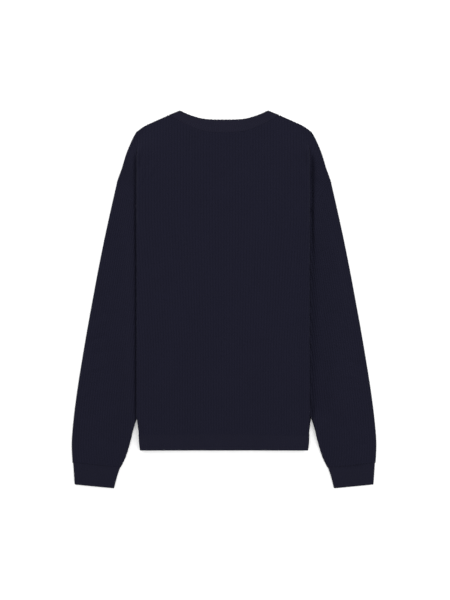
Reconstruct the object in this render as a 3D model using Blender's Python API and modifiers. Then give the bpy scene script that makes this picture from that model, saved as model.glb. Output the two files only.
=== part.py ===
"""Ribbed knit cardigan, laid face down: the back on top, the sides tucked in, the sleeves beside it.

Metres. X runs across the body, Y from hem to neck, Z up from the surface it lies on.
Left and right are the wearer's, so left is at -X while the back faces up.
Each knitted piece is one open surface, worked out in rows and columns, with a Solidify wall.
"""
import bmesh
import bpy
import numpy as np

# ---- the cloth ---------------------------------------------------------------------------------
WALL = 0.0018                    # rib knit, pressed flat
LAYER = 0.0022                   # from the middle of one layer to the middle of the next
SEAM = 0.0003                    # gap between pieces that are sewn together
TURN = LAYER / 2                 # radius of a folded side, at the middle of the wall
EDGE_SLANT = 0.00055             # a shoulder edge turns to its seam: this far out and down,
EDGE_UPRIGHT = LAYER / 2 - SEAM / 2 - EDGE_SLANT   # and then this far straight down
EDGE_INSET = WALL / 2 + EDGE_SLANT
LOWEST = WALL / 2                # height of the middle of the layer that lies on the surface

# ---- the body, as it lies ----------------------------------------------------------------------
HEM_BOTTOM = -0.3014
HEM_HEIGHT = 0.0324
HEM_TOP = HEM_BOTTOM + HEM_HEIGHT
NECK_POINT = (0.0882, 0.3779)    # where the neck edge meets the shoulder
BAND_SHOULDER = (0.1112, 0.3694)  # where the seam of the neckband meets the shoulder
CORNER = (0.1745, 0.3360)        # where the shoulder turns down into the sleeve cap
NOTCH = (0.2142, 0.2340)         # top end of the armhole seam
UNDERARM = (0.0715, 0.0500)      # its lower end, inside the tuck, and the line of the side seam
SLEEVE_OUT = (0.1750, -0.2390)   # where the sleeve's inner edge comes out from under the body

# Rows of (y, x) or (x, y), read by smooth_curve()
BODY_EDGE = ((-0.3014, 0.1685), (-0.2900, 0.1700), (-0.2620, 0.1720), (-0.2300, 0.1750),
             (-0.2000, 0.1750), (0.3360, 0.1750))
CAP_EDGE = ((0.2340, 0.2142), (0.2470, 0.2098), (0.2630, 0.2039), (0.2790, 0.1992),
            (0.2950, 0.1940), (0.3110, 0.1874), (0.3270, 0.1799), (0.3360, 0.1745))
SHOULDER_EDGE = ((0.0882, 0.3779), (0.1012, 0.3738), (0.1132, 0.3685), (0.1372, 0.3578),
                 (0.1612, 0.3458), (0.1745, 0.3360))
NECK_EDGE = ((0.0, 0.3610), (0.0190, 0.3611), (0.0430, 0.3631), (0.0670, 0.3697),
             (0.0882, 0.3779))
NECK_SEAM = ((0.0, 0.3360), (0.0190, 0.3361), (0.0450, 0.3395), (0.0750, 0.3510),
             (0.1112, 0.3694))

# How deep the side is tucked in, by height: the fold runs from the corner to the underarm
TUCK_DEPTH = ((0.0810, 0.1015), (0.1200, 0.0850), (0.1600, 0.0693), (0.2000, 0.0536),
              (0.2340, 0.0400), (0.2460, 0.0300), (0.2620, 0.0160), (0.2760, 0.0060),
              (0.2860, 0.0010))
# Near the corner the tuck is a soft swell: level, share of its full height, share of its full fold
TUCK_START = ((0.2860, 1.00, 1.00), (0.2960, 0.85, 0.65), (0.3080, 0.55, 0.30),
              (0.3220, 0.25, 0.00), (0.3360, 0.00, 0.00))
BODY_LEVELS = (HEM_TOP, -0.240, -0.200, -0.150, -0.100, -0.050, 0.000, 0.050, 0.062, 0.081,
               0.120, 0.160, 0.200, 0.234, 0.246, 0.262, 0.276, 0.286, 0.296, 0.308, 0.322,
               0.336)
HEM_LEVELS = (HEM_BOTTOM, (HEM_BOTTOM + HEM_TOP) / 2, HEM_TOP - SEAM)
BAND_LEVELS = (HEM_BOTTOM,) + tuple(level for level in BODY_LEVELS if level > 0)
CAP_BEGINS = 0.062               # lowest level with cloth beyond the inner fold of the tuck
RISE_BEGINS = 0.200              # above this the rows bend up towards the shoulder line
RISE_POWER = 1.5
BACK_COLUMNS = (0.0, 0.014, 0.032, 0.052, 0.0715, 0.090, BAND_SHOULDER[0], 0.131)
FRONT_COLUMNS = (0.014, 0.030, 0.067, 0.102)   # beyond the front band
SWELL_START = 0.150              # column where the cloth begins to swell beside the corner

# ---- bands and buttons -------------------------------------------------------------------------
BAND = 0.0250                    # width of the neckband and the front bands
V_HEIGHT = 0.1440                # where the middles of the two front bands cross
V_BEND = 0.0340                  # height each side of it over which a band bends
BUTTON_RADIUS = 0.0090
BUTTON_THICK = 0.0026
BUTTON_DISH = 0.0007             # how far the middle of the face is sunk
BUTTON_RIM = 0.0020
BUTTON_HOLE_RADIUS = 0.0010
BUTTON_HOLE_OFFSET = 0.0019
BUTTON_COUNT = 5
TOP_BUTTON = 0.1300
BOTTOM_BUTTON = HEM_BOTTOM + HEM_HEIGHT / 2
OUTER_LIFT = BUTTON_THICK + SEAM             # the outer front band lies on the buttons
UNDER_LIFT = OUTER_LIFT + LAYER
BAND_SLOPE = 0.0300              # width over which the cloth comes down beside a band
OUTER_SETTLES = (0.150, 0.065)   # the outer band comes down to the surface: from, over
UNDER_SETTLES = (0.181, 0.060)
BACK_SETTLES = (0.190, 0.070)

# ---- sleeves -----------------------------------------------------------------------------------
# Stations down the sleeve: outer edge x, y and inner edge x, y
SLEEVE_STATIONS = (
    (0.2142, 0.2340, 0.0715, 0.0500),
    (0.2269, 0.1790, 0.0844, 0.0140),
    (0.2400, 0.1190, 0.0987, -0.0260),
    (0.2520, 0.0590, 0.1130, -0.0660),
    (0.2632, -0.0010, 0.1303, -0.1143),
    (0.2741, -0.0610, 0.1475, -0.1620),
    (0.2843, -0.1210, 0.1636, -0.2070),
    (0.2938, -0.1810, 0.1790, -0.2510),
    (0.3008, -0.2350, 0.1882, -0.2870),
    (0.3050, -0.2850, 0.1970, -0.3150),
    (0.3036, -0.3260, 0.2068, -0.3355),
)
CUFF_STATIONS = (
    (0.3028, -0.3264, 0.2078, -0.3358),
    (0.3018, -0.3410, 0.2115, -0.3460),
    (0.3008, -0.3560, 0.2155, -0.3590),
    (0.2998, -0.3702, 0.2202, -0.3779),
)
TUBE_COLUMNS = 6                 # points across one wall of a flattened tube
SLEEVE_LOFT = 0.0012             # how far the upper wall swells in the open
DROP = 0.0367                    # width over which cloth comes down outside the body
CLEAR_OF_FOLD = 0.0025           # it starts this far outside the body's edge

# ---- how cloth comes down beside what lies under it ---------------------------------------------
CLOSE_REACH = 0.012              # slope of a layer that lies pressed on the lower one
LOOSE_REACH = 0.041              # slope of the loose back
CLOSE_AHEAD = 0.002              # it stays up this far in front of the edge below it
LOOSE_AHEAD = 0.014
HUG_WIDTH = 0.060                # the back lies pressed within this distance of its side fold
RIDGE_HALF = 0.020               # half width of the back's raised middle, over the front bands
RIDGE_SPREAD = 0.444             # it widens with the V neck by this much a metre of height
RIDGE_SLOPE = 0.045              # width over which it comes down
ROUNDING = 4                     # power of the mean that joins the raised middle and sides
FOLD_MARGIN = 0.004              # least distance of a row's inner points from the folds

KNIT_COLOUR = (0.0130, 0.0130, 0.0252, 1.0)
BUTTON_COLOUR = (0.0110, 0.0110, 0.0200, 1.0)


def smooth_curve(table, at):
    """Cubic curve through (input, output) rows, with slopes taken from the neighbouring rows."""
    x, y = np.array(table, float).T
    slope = np.gradient(y, x)
    i = np.clip(np.searchsorted(x, at) - 1, 0, len(x) - 2)
    step = x[i + 1] - x[i]
    t = np.clip((at - x[i]) / step, 0, 1)
    start = (1 + 2 * t) * (1 - t) ** 2 * y[i] + t * (1 - t) ** 2 * step * slope[i]
    end = t * t * (3 - 2 * t) * y[i + 1] + t * t * (t - 1) * step * slope[i + 1]
    return start + end


def ease(value):
    """0 below 0, 1 above 1 and a smooth S between."""
    t = np.clip(value, 0, 1)
    return t * t * (3 - 2 * t)


# ---- heights of the layers ---------------------------------------------------------------------
def tuck_depth(level):
    """How far the side is folded inwards at a level; below the underarm, to the side seam."""
    if level < TUCK_DEPTH[0][0]:
        return fold_start(level) - UNDERARM[0]
    depth = smooth_curve(TUCK_DEPTH, level)
    return min(depth, fold_start(level) - UNDERARM[0])


def tuck_state(level):
    """(height share, fold share) of the tuck at a level: whole, or a swell beside the corner."""
    levels, heights, folds = np.array(TUCK_START).T
    return np.interp(level, levels, heights), np.interp(level, levels, folds)


def fold_start(level):
    """Where the panel begins to turn round the side edge."""
    return smooth_curve(BODY_EDGE, level) - WALL / 2 - TURN


def sleeve_inner_edge(level):
    """The sleeve's hidden inner edge: a straight line from the underarm to where it comes out."""
    slope = (SLEEVE_OUT[0] - UNDERARM[0]) / (UNDERARM[1] - SLEEVE_OUT[1])
    return UNDERARM[0] + (UNDERARM[1] - level) * slope


def stacked(x, level, inner_edge, hug):
    """1 over whatever reaches in to inner_edge, and down to 0 in front of it.

    hug 0 is the slope of a loose upper layer, hug 1 the short one of a layer that lies on it.
    """
    ahead = LOOSE_AHEAD + (CLOSE_AHEAD - LOOSE_AHEAD) * hug
    reach = LOOSE_REACH + (CLOSE_REACH - LOOSE_REACH) * hug
    return ease((x - inner_edge + ahead + reach) / reach)


def back_height(x, level):
    """Middle of the back panel: over the bands at the centre, over tuck and sleeve at the sides."""
    height, _ = tuck_state(level)
    tuck_edge = max(UNDERARM[0], fold_start(level) - tuck_depth(level))
    to_fold = np.clip((fold_start(level) - x) / HUG_WIDTH, 0, 1)
    sleeve_edge = tuck_edge if level >= UNDERARM[1] else sleeve_inner_edge(level)
    sides = 2 * LAYER * height * (stacked(x, level, tuck_edge, 0)
                                  + stacked(x, level, sleeve_edge, 1 - to_fold))
    spread = RIDGE_HALF + RIDGE_SPREAD * max(0.0, level - V_HEIGHT)
    settle = 1 - ease((level - BACK_SETTLES[0]) / BACK_SETTLES[1])
    centre = UNDER_LIFT * settle * (1 - ease((x - spread) / RIDGE_SLOPE))
    return LOWEST + LAYER + (centre ** ROUNDING + sides ** ROUNDING) ** (1 / ROUNDING)


def tucked_back_height(x, level):
    """Middle of the part of the back that is tucked under, which lies close on the sleeve."""
    if level >= UNDERARM[1]:
        over_sleeve = 1.0
    else:
        ahead = x - sleeve_inner_edge(level) + CLOSE_AHEAD
        over_sleeve = np.clip(ahead / CLOSE_REACH + 1, 0, 1)
    return LOWEST + 2 * LAYER * (1 + over_sleeve)


def drop(x, level):
    """How far cloth outside the body has come down to the surface: 0 at the fold, 1 clear of it."""
    edge = smooth_curve(BODY_EDGE, np.clip(level, HEM_BOTTOM, CORNER[1])) + CLEAR_OF_FOLD
    width = np.where(level > NOTCH[1], smooth_curve(CAP_EDGE, level) - edge, DROP)
    below = np.maximum(0, HEM_BOTTOM - level)
    return ease(np.hypot(np.maximum(0, x - edge), below) / np.maximum(width, FOLD_MARGIN))


def band_lift(y, outer):
    """How high a front band is held by the buttons and by the other band."""
    settles = OUTER_SETTLES if outer else UNDER_SETTLES
    lift = OUTER_LIFT if outer else UNDER_LIFT
    return lift * (1 - ease((y - settles[0]) / settles[1]))


# ---- the path of the front bands ---------------------------------------------------------------
def band_x(y, offset):
    """x of the line that runs offset beside the band's middle: upright, a soft bend, then slanted."""
    top = (np.array(NECK_POINT) + np.array(BAND_SHOULDER)) / 2
    slant = top[0] / (top[1] - V_HEIGHT)
    bend = np.clip((y - V_HEIGHT + V_BEND) / (2 * V_BEND), 0, 1)
    middle = slant * (V_BEND * bend ** 2 + np.maximum(0, y - V_HEIGHT - V_BEND))
    return middle + offset * np.sqrt(1 + (slant * bend) ** 2)


def beside_band(level, offset):
    """(x, y) of the place in a row that lies offset beside the band's middle."""
    x = offset
    for _ in range(8):
        x = band_x(row_height(x, level, front_top), offset)
    return x, row_height(x, level, front_top)


# ---- the panels --------------------------------------------------------------------------------
def panel_top(x):
    """Upper edge of the back panel: the neckband's seam, then the shoulder."""
    neck = smooth_curve(NECK_SEAM, x) - SEAM
    return np.where(x < BAND_SHOULDER[0], neck, smooth_curve(SHOULDER_EDGE, x))


def row_height(x, level, top_edge):
    """A row is level at the side and, near the top, bends up to follow the top edge."""
    rise = np.clip((level - RISE_BEGINS) / (CORNER[1] - RISE_BEGINS), 0, 1) ** RISE_POWER
    return level + rise * (top_edge(np.minimum(x, CORNER[0])) - CORNER[1])


def side_columns(level, start, height, turn):
    """(x, z) of the side of a row: round the edge, in, round again, and out to cap or armhole.

    turn is -1 where the cloth turns under, for the back, and 1 where it turns up, for a front.
    """
    share, fold = tuck_state(level)
    step = LAYER * share * turn
    depth = tuck_depth(level)
    angles = np.radians((60, 120, 180))
    edge_x = fold_start(level)
    inner_x = edge_x - depth
    around = (edge_x + TURN * np.sin(angles), height + step / 2 * (1 - np.cos(angles)))
    if level <= UNDERARM[1]:
        over = np.clip(sleeve_inner_edge(level) - CLOSE_AHEAD, inner_x + FOLD_MARGIN,
                       edge_x - FOLD_MARGIN)
        off = max(over - CLOSE_REACH, inner_x + FOLD_MARGIN / 2)
        inward_x = np.array(((edge_x + over) / 2, over, off, inner_x))
    else:
        inward_x = edge_x - depth * np.array((0.25, 0.5, 0.75, 1.0))
    inward_z = np.full(4, height + step)
    if turn < 0:
        inward_z = np.where(share < 1, inward_z, tucked_back_height(inward_x, level))
    if level < CAP_BEGINS:
        return np.append(around[0], inward_x), np.append(around[1], inward_z)
    again = (inner_x - TURN * np.sin(angles), height + step + step / 2 * (1 - np.cos(angles)))
    if level >= NOTCH[1]:
        end = smooth_curve(CAP_EDGE, level)
    else:
        along = (level - UNDERARM[1]) / (NOTCH[1] - UNDERARM[1])
        end = UNDERARM[0] + along * (NOTCH[0] - UNDERARM[0])
    middle = min(edge_x + 1.5 * FOLD_MARGIN, (inner_x + end) / 2)
    outward_x = np.array((middle, end))
    lower = LOWEST + (LAYER if turn < 0 else 0)
    outward_z = lower + 2 * LAYER * share * (1 - drop(outward_x, level))
    folded = (np.concatenate([around[0], inward_x, again[0], outward_x]),
              np.concatenate([around[1], inward_z, again[1], outward_z]))
    t = np.arange(1, 13) / 12
    flat_x = start + (end - start) * t
    flat_z = height + (lower - height) * ease(t)
    return flat_x + (folded[0] - flat_x) * fold, flat_z + (folded[1] - flat_z) * fold


def panel_rows(levels, columns, front):
    """Grid of points of the right half of a panel. front is None for the back, else its lift."""
    rows = []
    for level in levels:
        share, fold = tuck_state(level)
        start = SWELL_START + (fold_start(level) - SWELL_START) * fold
        first = np.array(columns)
        if front is None:
            x = np.append(first, start)
            z = back_height(x, level)
            if share >= 1:
                z[-1] = tucked_back_height(start, level) + LAYER
            turn, top_edge = -1, panel_top
        else:
            top_edge = front_top
            edge, edge_y = beside_band(level, BAND / 2 + SEAM)
            x = edge + (start - edge) * np.append((first - first[0]), SWELL_START - first[0]) / (
                SWELL_START - first[0])
            z = LOWEST + band_lift(edge_y, front) * (1 - ease((x - edge) / BAND_SLOPE))
            turn = 1
        side_x, side_z = side_columns(level, start, z[-1], turn)
        x, z = np.append(x, side_x), np.append(z, side_z)
        points = np.stack([x, row_height(x, level, top_edge), z], axis=1)
        rows.append(points)
    width = max(len(row) for row in rows)
    return np.array([np.vstack([row, np.full((width - len(row), 3), np.nan)]) for row in rows])


def front_top(x):
    """Upper edge of a front: the shoulder line."""
    return smooth_curve(SHOULDER_EDGE, np.maximum(x, NECK_POINT[0]))


def turned_edge(grid, border, outline, turn):
    """Sets a grid's border in from its outline and gives the strip that turns to the seam.

    border lists (row, column) places; the strip turns down for turn -1 and up for turn 1.
    """
    along = np.gradient(outline, axis=0)
    along /= np.linalg.norm(along, axis=1)[:, None]
    outward = np.stack([-along[:, 1], along[:, 0]], axis=1)
    strip = []
    for (row, column), place, out in zip(border, outline, outward):
        grid[row, column, :2] = place - out * EDGE_INSET
        slanted = grid[row, column] + (*(out * EDGE_SLANT), turn * EDGE_SLANT)
        strip.append([slanted, slanted + (0, 0, turn * EDGE_UPRIGHT)])
    return np.array(strip)


def shoulder_border(grid, levels, first):
    """Places and outline of a panel's shoulder and cap edge, from column first to the notch."""
    last = grid.shape[1] - 1
    top = len(levels) - 1
    border = [(top, column) for column in range(first, last + 1)]
    outline = [(grid[top, column, 0], grid[top, column, 1]) for column in range(first, last + 1)]
    for row in range(top - 1, -1, -1):
        if levels[row] < NOTCH[1] - 1e-6:
            break
        border.append((row, last))
        outline.append((grid[row, last, 0], grid[row, last, 1]))
    return border, np.array(outline)[:, :2]


# ---- making objects ----------------------------------------------------------------------------
def make_material(name, colour, roughness):
    material = bpy.data.materials.new(name)
    material.use_nodes = True
    shader = material.node_tree.nodes["Principled BSDF"]
    shader.inputs["Base Color"].default_value = colour
    shader.inputs["Roughness"].default_value = roughness
    shader.inputs["Metallic"].default_value = 0.0
    return material


def grid_faces(numbers):
    """Quads between neighbouring grid places that are all filled."""
    faces = []
    for row in range(numbers.shape[0] - 1):
        for column in range(numbers.shape[1] - 1):
            quad = (numbers[row, column], numbers[row, column + 1],
                    numbers[row + 1, column + 1], numbers[row + 1, column])
            if min(quad) >= 0:
                faces.append(quad)
    return faces


def knitted(name, grid, collection, strips=(), side=1, mirror=False, closed=False):
    """A knitted piece from a grid of points: surface, optional mirrored half, then its wall.

    strips are (border places, points) of edges that turn down. closed joins the last column
    to the first, for a tube.
    """
    filled = ~np.isnan(grid[:, :, 0])
    numbers = np.full(filled.shape, -1)
    numbers[filled] = np.arange(filled.sum())
    points = [grid[filled]]
    faces = grid_faces(np.hstack([numbers, numbers[:, :1]]) if closed else numbers)
    count = filled.sum()
    for border, strip in strips:
        added = count + np.arange(strip.shape[0] * strip.shape[1]).reshape(strip.shape[:2])
        count += added.size
        points.append(strip.reshape(-1, 3))
        edge = np.array([numbers[place] for place in border])[:, None]
        faces += grid_faces(np.hstack([edge, added]))
    points = np.vstack(points) * (side, 1, 1)
    mesh = bpy.data.meshes.new(name)
    mesh.from_pydata(points.tolist(), [], [[int(i) for i in face] for face in faces])
    shape = bmesh.new()
    shape.from_mesh(mesh)
    bmesh.ops.recalc_face_normals(shape, faces=shape.faces)
    shape.to_mesh(mesh)
    shape.free()
    mesh.shade_smooth()
    piece = bpy.data.objects.new(name, mesh)
    collection.objects.link(piece)
    if mirror:
        half = piece.modifiers.new("Other half", "MIRROR")
        half.merge_threshold = 0.00005
    wall = piece.modifiers.new("Wall", "SOLIDIFY")
    wall.thickness = WALL
    wall.offset = 0
    wall.use_even_offset = True
    mesh.materials.append(make_material(name, KNIT_COLOUR, 0.95))
    return piece


def make_back(collection):
    """Back panel, with its sides tucked under and its sleeve caps."""
    grid = panel_rows(BODY_LEVELS, BACK_COLUMNS, None)
    border, outline = shoulder_border(grid, BODY_LEVELS, BACK_COLUMNS.index(BAND_SHOULDER[0]))
    strip = turned_edge(grid, border, outline, -1)
    knitted("back", grid, collection, [(border, strip)], mirror=True)
    knitted("hem_back", panel_rows(HEM_LEVELS, BACK_COLUMNS, None), collection, mirror=True)


def make_front(name, side, outer, collection):
    """One front panel and its hem band, on the surface, beside the front band."""
    grid = panel_rows(BODY_LEVELS, FRONT_COLUMNS, outer)
    border, outline = shoulder_border(grid, BODY_LEVELS, 0)
    strip = turned_edge(grid, border, outline, 1)
    knitted(f"front_{name}", grid, collection, [(border, strip)], side)
    hem = panel_rows(HEM_LEVELS, FRONT_COLUMNS, outer)
    knitted(f"hem_front_{name}", hem, collection, side=side)


def make_front_band(name, side, outer, collection):
    """Band along the front edge, from the hem up the V to the shoulder."""
    offsets = np.array((-1, 0, 1)) * BAND / 2
    grid = np.array([[beside_band(level, offset) for offset in offsets]
                     for level in BAND_LEVELS])
    grid = np.dstack([grid, LOWEST + band_lift(grid[:, :, 1], outer)])
    last = len(grid) - 1
    border = [(last, column) for column in (0, 1, 2)]
    ends = (NECK_POINT, BAND_SHOULDER)
    outline = np.array([np.array(ends[0]) + (np.array(ends[1]) - ends[0]) * t
                        for t in (0.0, 0.5, 1.0)])
    strip = turned_edge(grid, border, outline, 1)
    knitted(f"front_band_{name}", grid, collection, [(border, strip)], side)


def make_neckband(collection):
    """Band round the back of the neck, between the two shoulder seams."""
    seam_x = np.array(BACK_COLUMNS[:BACK_COLUMNS.index(BAND_SHOULDER[0]) + 1])
    seam_x[-1] -= 2 * SEAM
    edge_x = seam_x * NECK_POINT[0] / BAND_SHOULDER[0]
    edge = np.stack([edge_x, smooth_curve(NECK_EDGE, edge_x)], axis=1)
    seam = np.stack([seam_x, smooth_curve(NECK_SEAM, seam_x)], axis=1)
    seam[-1, 1] += 2 * SEAM
    flat = np.stack([edge, (edge + seam) / 2, seam])
    grid = np.dstack([flat, np.full(flat.shape[:2], LOWEST + LAYER)])
    border = [(row, len(seam_x) - 1) for row in range(3)]
    strip = turned_edge(grid, border, flat[:, -1], -1)
    knitted("neckband", grid, collection, [(border, strip)], mirror=True)


def tube_grid(stations):
    """Rings of a flattened tube: upper wall, inner edge, lower wall, outer edge.

    Each station gives the two edges of the tube; its walls follow the height of what is below,
    with a column where they leave the body's edge.
    """
    rings = []
    for outer_x, outer_y, inner_x, inner_y in stations:
        outer, inner = np.array((outer_x, outer_y)), np.array((inner_x, inner_y))
        across = (inner - outer) / np.linalg.norm(inner - outer)
        start, end = outer + across * (WALL / 2 + TURN), inner - across * (WALL / 2 + TURN)
        body = smooth_curve(BODY_EDGE, max(end[1], HEM_BOTTOM)) + CLEAR_OF_FOLD
        knee = np.clip((start[0] - body) / (start[0] - end[0]), 0.05, 0.9)
        share = np.interp(np.linspace(0, 1, TUBE_COLUMNS), (0, 0.6, 1), (0, knee, 1))
        wall = start + (end - start) * share[:, None]
        corner = np.radians((60, 120))
        inner_turn = end + across * (TURN * np.sin(corner))[:, None]
        outer_turn = start - across * (TURN * np.sin(corner))[:, None]
        flat = np.vstack([wall, inner_turn, wall[::-1], outer_turn])
        side = np.concatenate([np.ones(TUBE_COLUMNS), np.cos(corner), -np.ones(TUBE_COLUMNS),
                               -np.cos(corner)])
        lying = drop(flat[:, 0], flat[:, 1])
        height = LOWEST + TURN + 2 * LAYER * (1 - lying) + side * TURN
        loft = np.sin(np.pi * share) * SLEEVE_LOFT
        height[:TUBE_COLUMNS] += loft * lying[:TUBE_COLUMNS]
        rings.append(np.column_stack([flat, height]))
    return np.array(rings)


def make_sleeve(name, side, collection):
    """Sleeve and cuff, each a flattened tube that is open at both ends."""
    stations = np.array(SLEEVE_STATIONS)
    seam = stations[0, :2] - stations[0, 2:]
    away = np.array((seam[1], -seam[0])) / np.linalg.norm(seam) * SEAM
    stations[0] += np.tile(away, 2)
    knitted(f"sleeve_{name}", tube_grid(stations), collection, side=side, closed=True)
    knitted(f"cuff_{name}", tube_grid(CUFF_STATIONS), collection, side=side, closed=True)


def make_button(name, y, collection, cutters):
    """Four-hole button, turned from its profile, face down with the rim on the surface."""
    profile = ((0.0001, BUTTON_DISH), (BUTTON_RADIUS - 2 * BUTTON_RIM, BUTTON_DISH),
               (BUTTON_RADIUS - BUTTON_RIM, 0.0), (BUTTON_RADIUS - BUTTON_RIM / 3, 0.0),
               (BUTTON_RADIUS, BUTTON_THICK / 3), (BUTTON_RADIUS - BUTTON_RIM / 2, BUTTON_THICK),
               (0.0001, BUTTON_THICK))
    mesh = bpy.data.meshes.new(name)
    shape = bmesh.new()
    ring = [shape.verts.new((radius, 0, height)) for radius, height in profile[::-1]]
    for a, b in zip(ring, ring[1:]):
        shape.edges.new((a, b))
    shape.verts.ensure_lookup_table()
    for vertex in (ring[0], ring[-1]):
        vertex.co.x = 0.0
    shape.to_mesh(mesh)
    shape.free()
    button = bpy.data.objects.new(name, mesh)
    button.location = (0, y, 0)
    collection.objects.link(button)
    turned = button.modifiers.new("Turned", "SCREW")
    turned.steps = turned.render_steps = 20
    turned.use_merge_vertices = True
    turned.merge_threshold = 0.00005
    for number, (i, j) in enumerate(((-1, -1), (1, -1), (-1, 1), (1, 1))):
        place = (i * BUTTON_HOLE_OFFSET, y + j * BUTTON_HOLE_OFFSET, BUTTON_THICK / 2)
        bpy.ops.mesh.primitive_cylinder_add(vertices=8, radius=BUTTON_HOLE_RADIUS,
                                            depth=BUTTON_THICK * 2, location=place)
        cutter = bpy.context.object
        cutter.name = f"{name}_hole_cutter_{number}"
        cutter.hide_render = True
        cutter.display_type = "WIRE"
        for owner in cutter.users_collection:
            owner.objects.unlink(cutter)
        cutters.objects.link(cutter)
        hole = button.modifiers.new(f"Hole {number}", "BOOLEAN")
        hole.object = cutter
        hole.operation = "DIFFERENCE"
        hole.solver = "EXACT"
    mesh.materials.append(make_material(name, BUTTON_COLOUR, 0.4))


def make_cardigan():
    for old in list(bpy.data.objects):
        bpy.data.objects.remove(old, do_unlink=True)
    cardigan = bpy.data.collections.new("cardigan")
    cutters = bpy.data.collections.new("cutters")
    for collection in (cardigan, cutters):
        bpy.context.scene.collection.children.link(collection)
    make_back(cardigan)
    make_neckband(cardigan)
    for name, side, outer in (("left", -1, True), ("right", 1, False)):
        make_front(name, side, outer, cardigan)
        make_front_band(name, side, outer, cardigan)
        make_sleeve(name, side, cardigan)
    spacing = (TOP_BUTTON - BOTTOM_BUTTON) / (BUTTON_COUNT - 1)
    for number in range(BUTTON_COUNT):
        make_button(f"button_{number + 1}", TOP_BUTTON - number * spacing, cardigan, cutters)


make_cardigan()
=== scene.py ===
# %% [markdown]
# # A ribbed knit cardigan, laid face down
# The garment lies on its front with its sides tucked in and its sleeves beside it. Everything that
# is sewn from knitted cloth is made here as a fine surface on the place of its CAD solid: first the
# shape of the layers as they lie, then the ribs as real relief, then creases and the yarn's finish.

# %% Load the fixed frame
import bmesh
import bpy
import numpy as np
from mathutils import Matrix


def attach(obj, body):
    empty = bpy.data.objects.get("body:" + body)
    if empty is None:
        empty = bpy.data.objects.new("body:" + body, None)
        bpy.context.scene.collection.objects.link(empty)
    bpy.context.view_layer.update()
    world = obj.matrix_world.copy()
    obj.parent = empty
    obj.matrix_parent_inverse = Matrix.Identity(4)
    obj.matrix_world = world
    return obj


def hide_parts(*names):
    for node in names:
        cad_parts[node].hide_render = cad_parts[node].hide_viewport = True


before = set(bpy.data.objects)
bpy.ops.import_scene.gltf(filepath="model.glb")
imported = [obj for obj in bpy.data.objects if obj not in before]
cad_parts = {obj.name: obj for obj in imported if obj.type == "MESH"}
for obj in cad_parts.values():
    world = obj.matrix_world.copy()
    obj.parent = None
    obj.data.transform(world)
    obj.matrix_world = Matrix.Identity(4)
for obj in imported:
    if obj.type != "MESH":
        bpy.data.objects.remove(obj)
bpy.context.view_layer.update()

# %% [markdown]
# ## The named sizes
# A knitter's sheet of measures, in metres. X runs across the body, Y from hem to neck and Z up
# through the layers. These are the sizes that the solids were made with, so each piece lands on its
# own solid without any fitting. Tables of pairs are read as smooth curves.

# %% Sizes of the cloth and of the laid body
WALL = 0.0018                     # thickness of the pressed rib knit
LAYER = 0.0022                    # from one layer's middle to the next
SEAM = 0.0003                     # gap between pieces that are sewn together
TURN = LAYER / 2                  # radius of a folded side
LOWEST = WALL / 2
HEM_BOTTOM, HEM_TOP = -0.3014, -0.2690
NECK_POINT = (0.0882, 0.3779)
BAND_SHOULDER = (0.1112, 0.3694)
CORNER = (0.1745, 0.3360)
NOTCH = (0.2142, 0.2340)
UNDERARM = (0.0715, 0.0500)
SLEEVE_OUT = (0.1750, -0.2390)
BODY_EDGE = ((-0.3014, 0.1685), (-0.2900, 0.1700), (-0.2620, 0.1720), (-0.2300, 0.1750),
             (-0.2000, 0.1750), (0.3360, 0.1750))
CAP_EDGE = ((0.2340, 0.2142), (0.2470, 0.2098), (0.2630, 0.2039), (0.2790, 0.1992),
            (0.2950, 0.1940), (0.3110, 0.1874), (0.3270, 0.1799), (0.3360, 0.1745))
SHOULDER_EDGE = ((0.0882, 0.3779), (0.1012, 0.3738), (0.1132, 0.3685), (0.1372, 0.3578),
                 (0.1612, 0.3458), (0.1745, 0.3360))
NECK_EDGE = ((0.0, 0.3610), (0.0190, 0.3611), (0.0430, 0.3631), (0.0670, 0.3697),
             (0.0882, 0.3779))
NECK_SEAM = ((0.0, 0.3360), (0.0190, 0.3361), (0.0450, 0.3395), (0.0750, 0.3510),
             (0.1112, 0.3694))
# level, and how deep the side is folded in there
TUCK_DEPTH = ((0.0810, 0.1015), (0.1200, 0.0850), (0.1600, 0.0693), (0.2000, 0.0536),
              (0.2340, 0.0400), (0.2460, 0.0300), (0.2620, 0.0160), (0.2760, 0.0060),
              (0.2860, 0.0010))
# level, share of its full height and share of its full fold that the tuck has there
TUCK_START = ((0.2860, 1.00, 1.00), (0.2960, 0.85, 0.65), (0.3080, 0.55, 0.30),
              (0.3220, 0.25, 0.00), (0.3360, 0.00, 0.00))
RISE_BEGINS, RISE_POWER = 0.200, 1.5
SWELL_START = 0.150               # near the shoulder corner the plain slope begins here

# %% Sizes of the bands, the heights and the sleeves
BAND, V_HEIGHT, V_BEND = 0.0250, 0.1440, 0.0340
BUTTON_THICK, BUTTON_COUNT, TOP_BUTTON = 0.0026, 5, 0.1300
BOTTOM_BUTTON = (HEM_BOTTOM + HEM_TOP) / 2
OUTER_LIFT = BUTTON_THICK + SEAM  # the outer front band lies on the buttons
UNDER_LIFT = OUTER_LIFT + LAYER
BAND_SLOPE = 0.0300               # width over which a front comes down beside its band
# where a lifted layer begins to come down towards the neck, and over what length
OUTER_SETTLES, UNDER_SETTLES, BACK_SETTLES = (0.150, 0.065), (0.181, 0.060), (0.190, 0.070)
DROP, CLEAR_OF_FOLD, FOLD_MARGIN = 0.0367, 0.0025, 0.004   # the slope outside the body
TIGHT_REACH, TIGHT_AHEAD = 0.012, 0.002      # the tucked layer lies close on the sleeve
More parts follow.
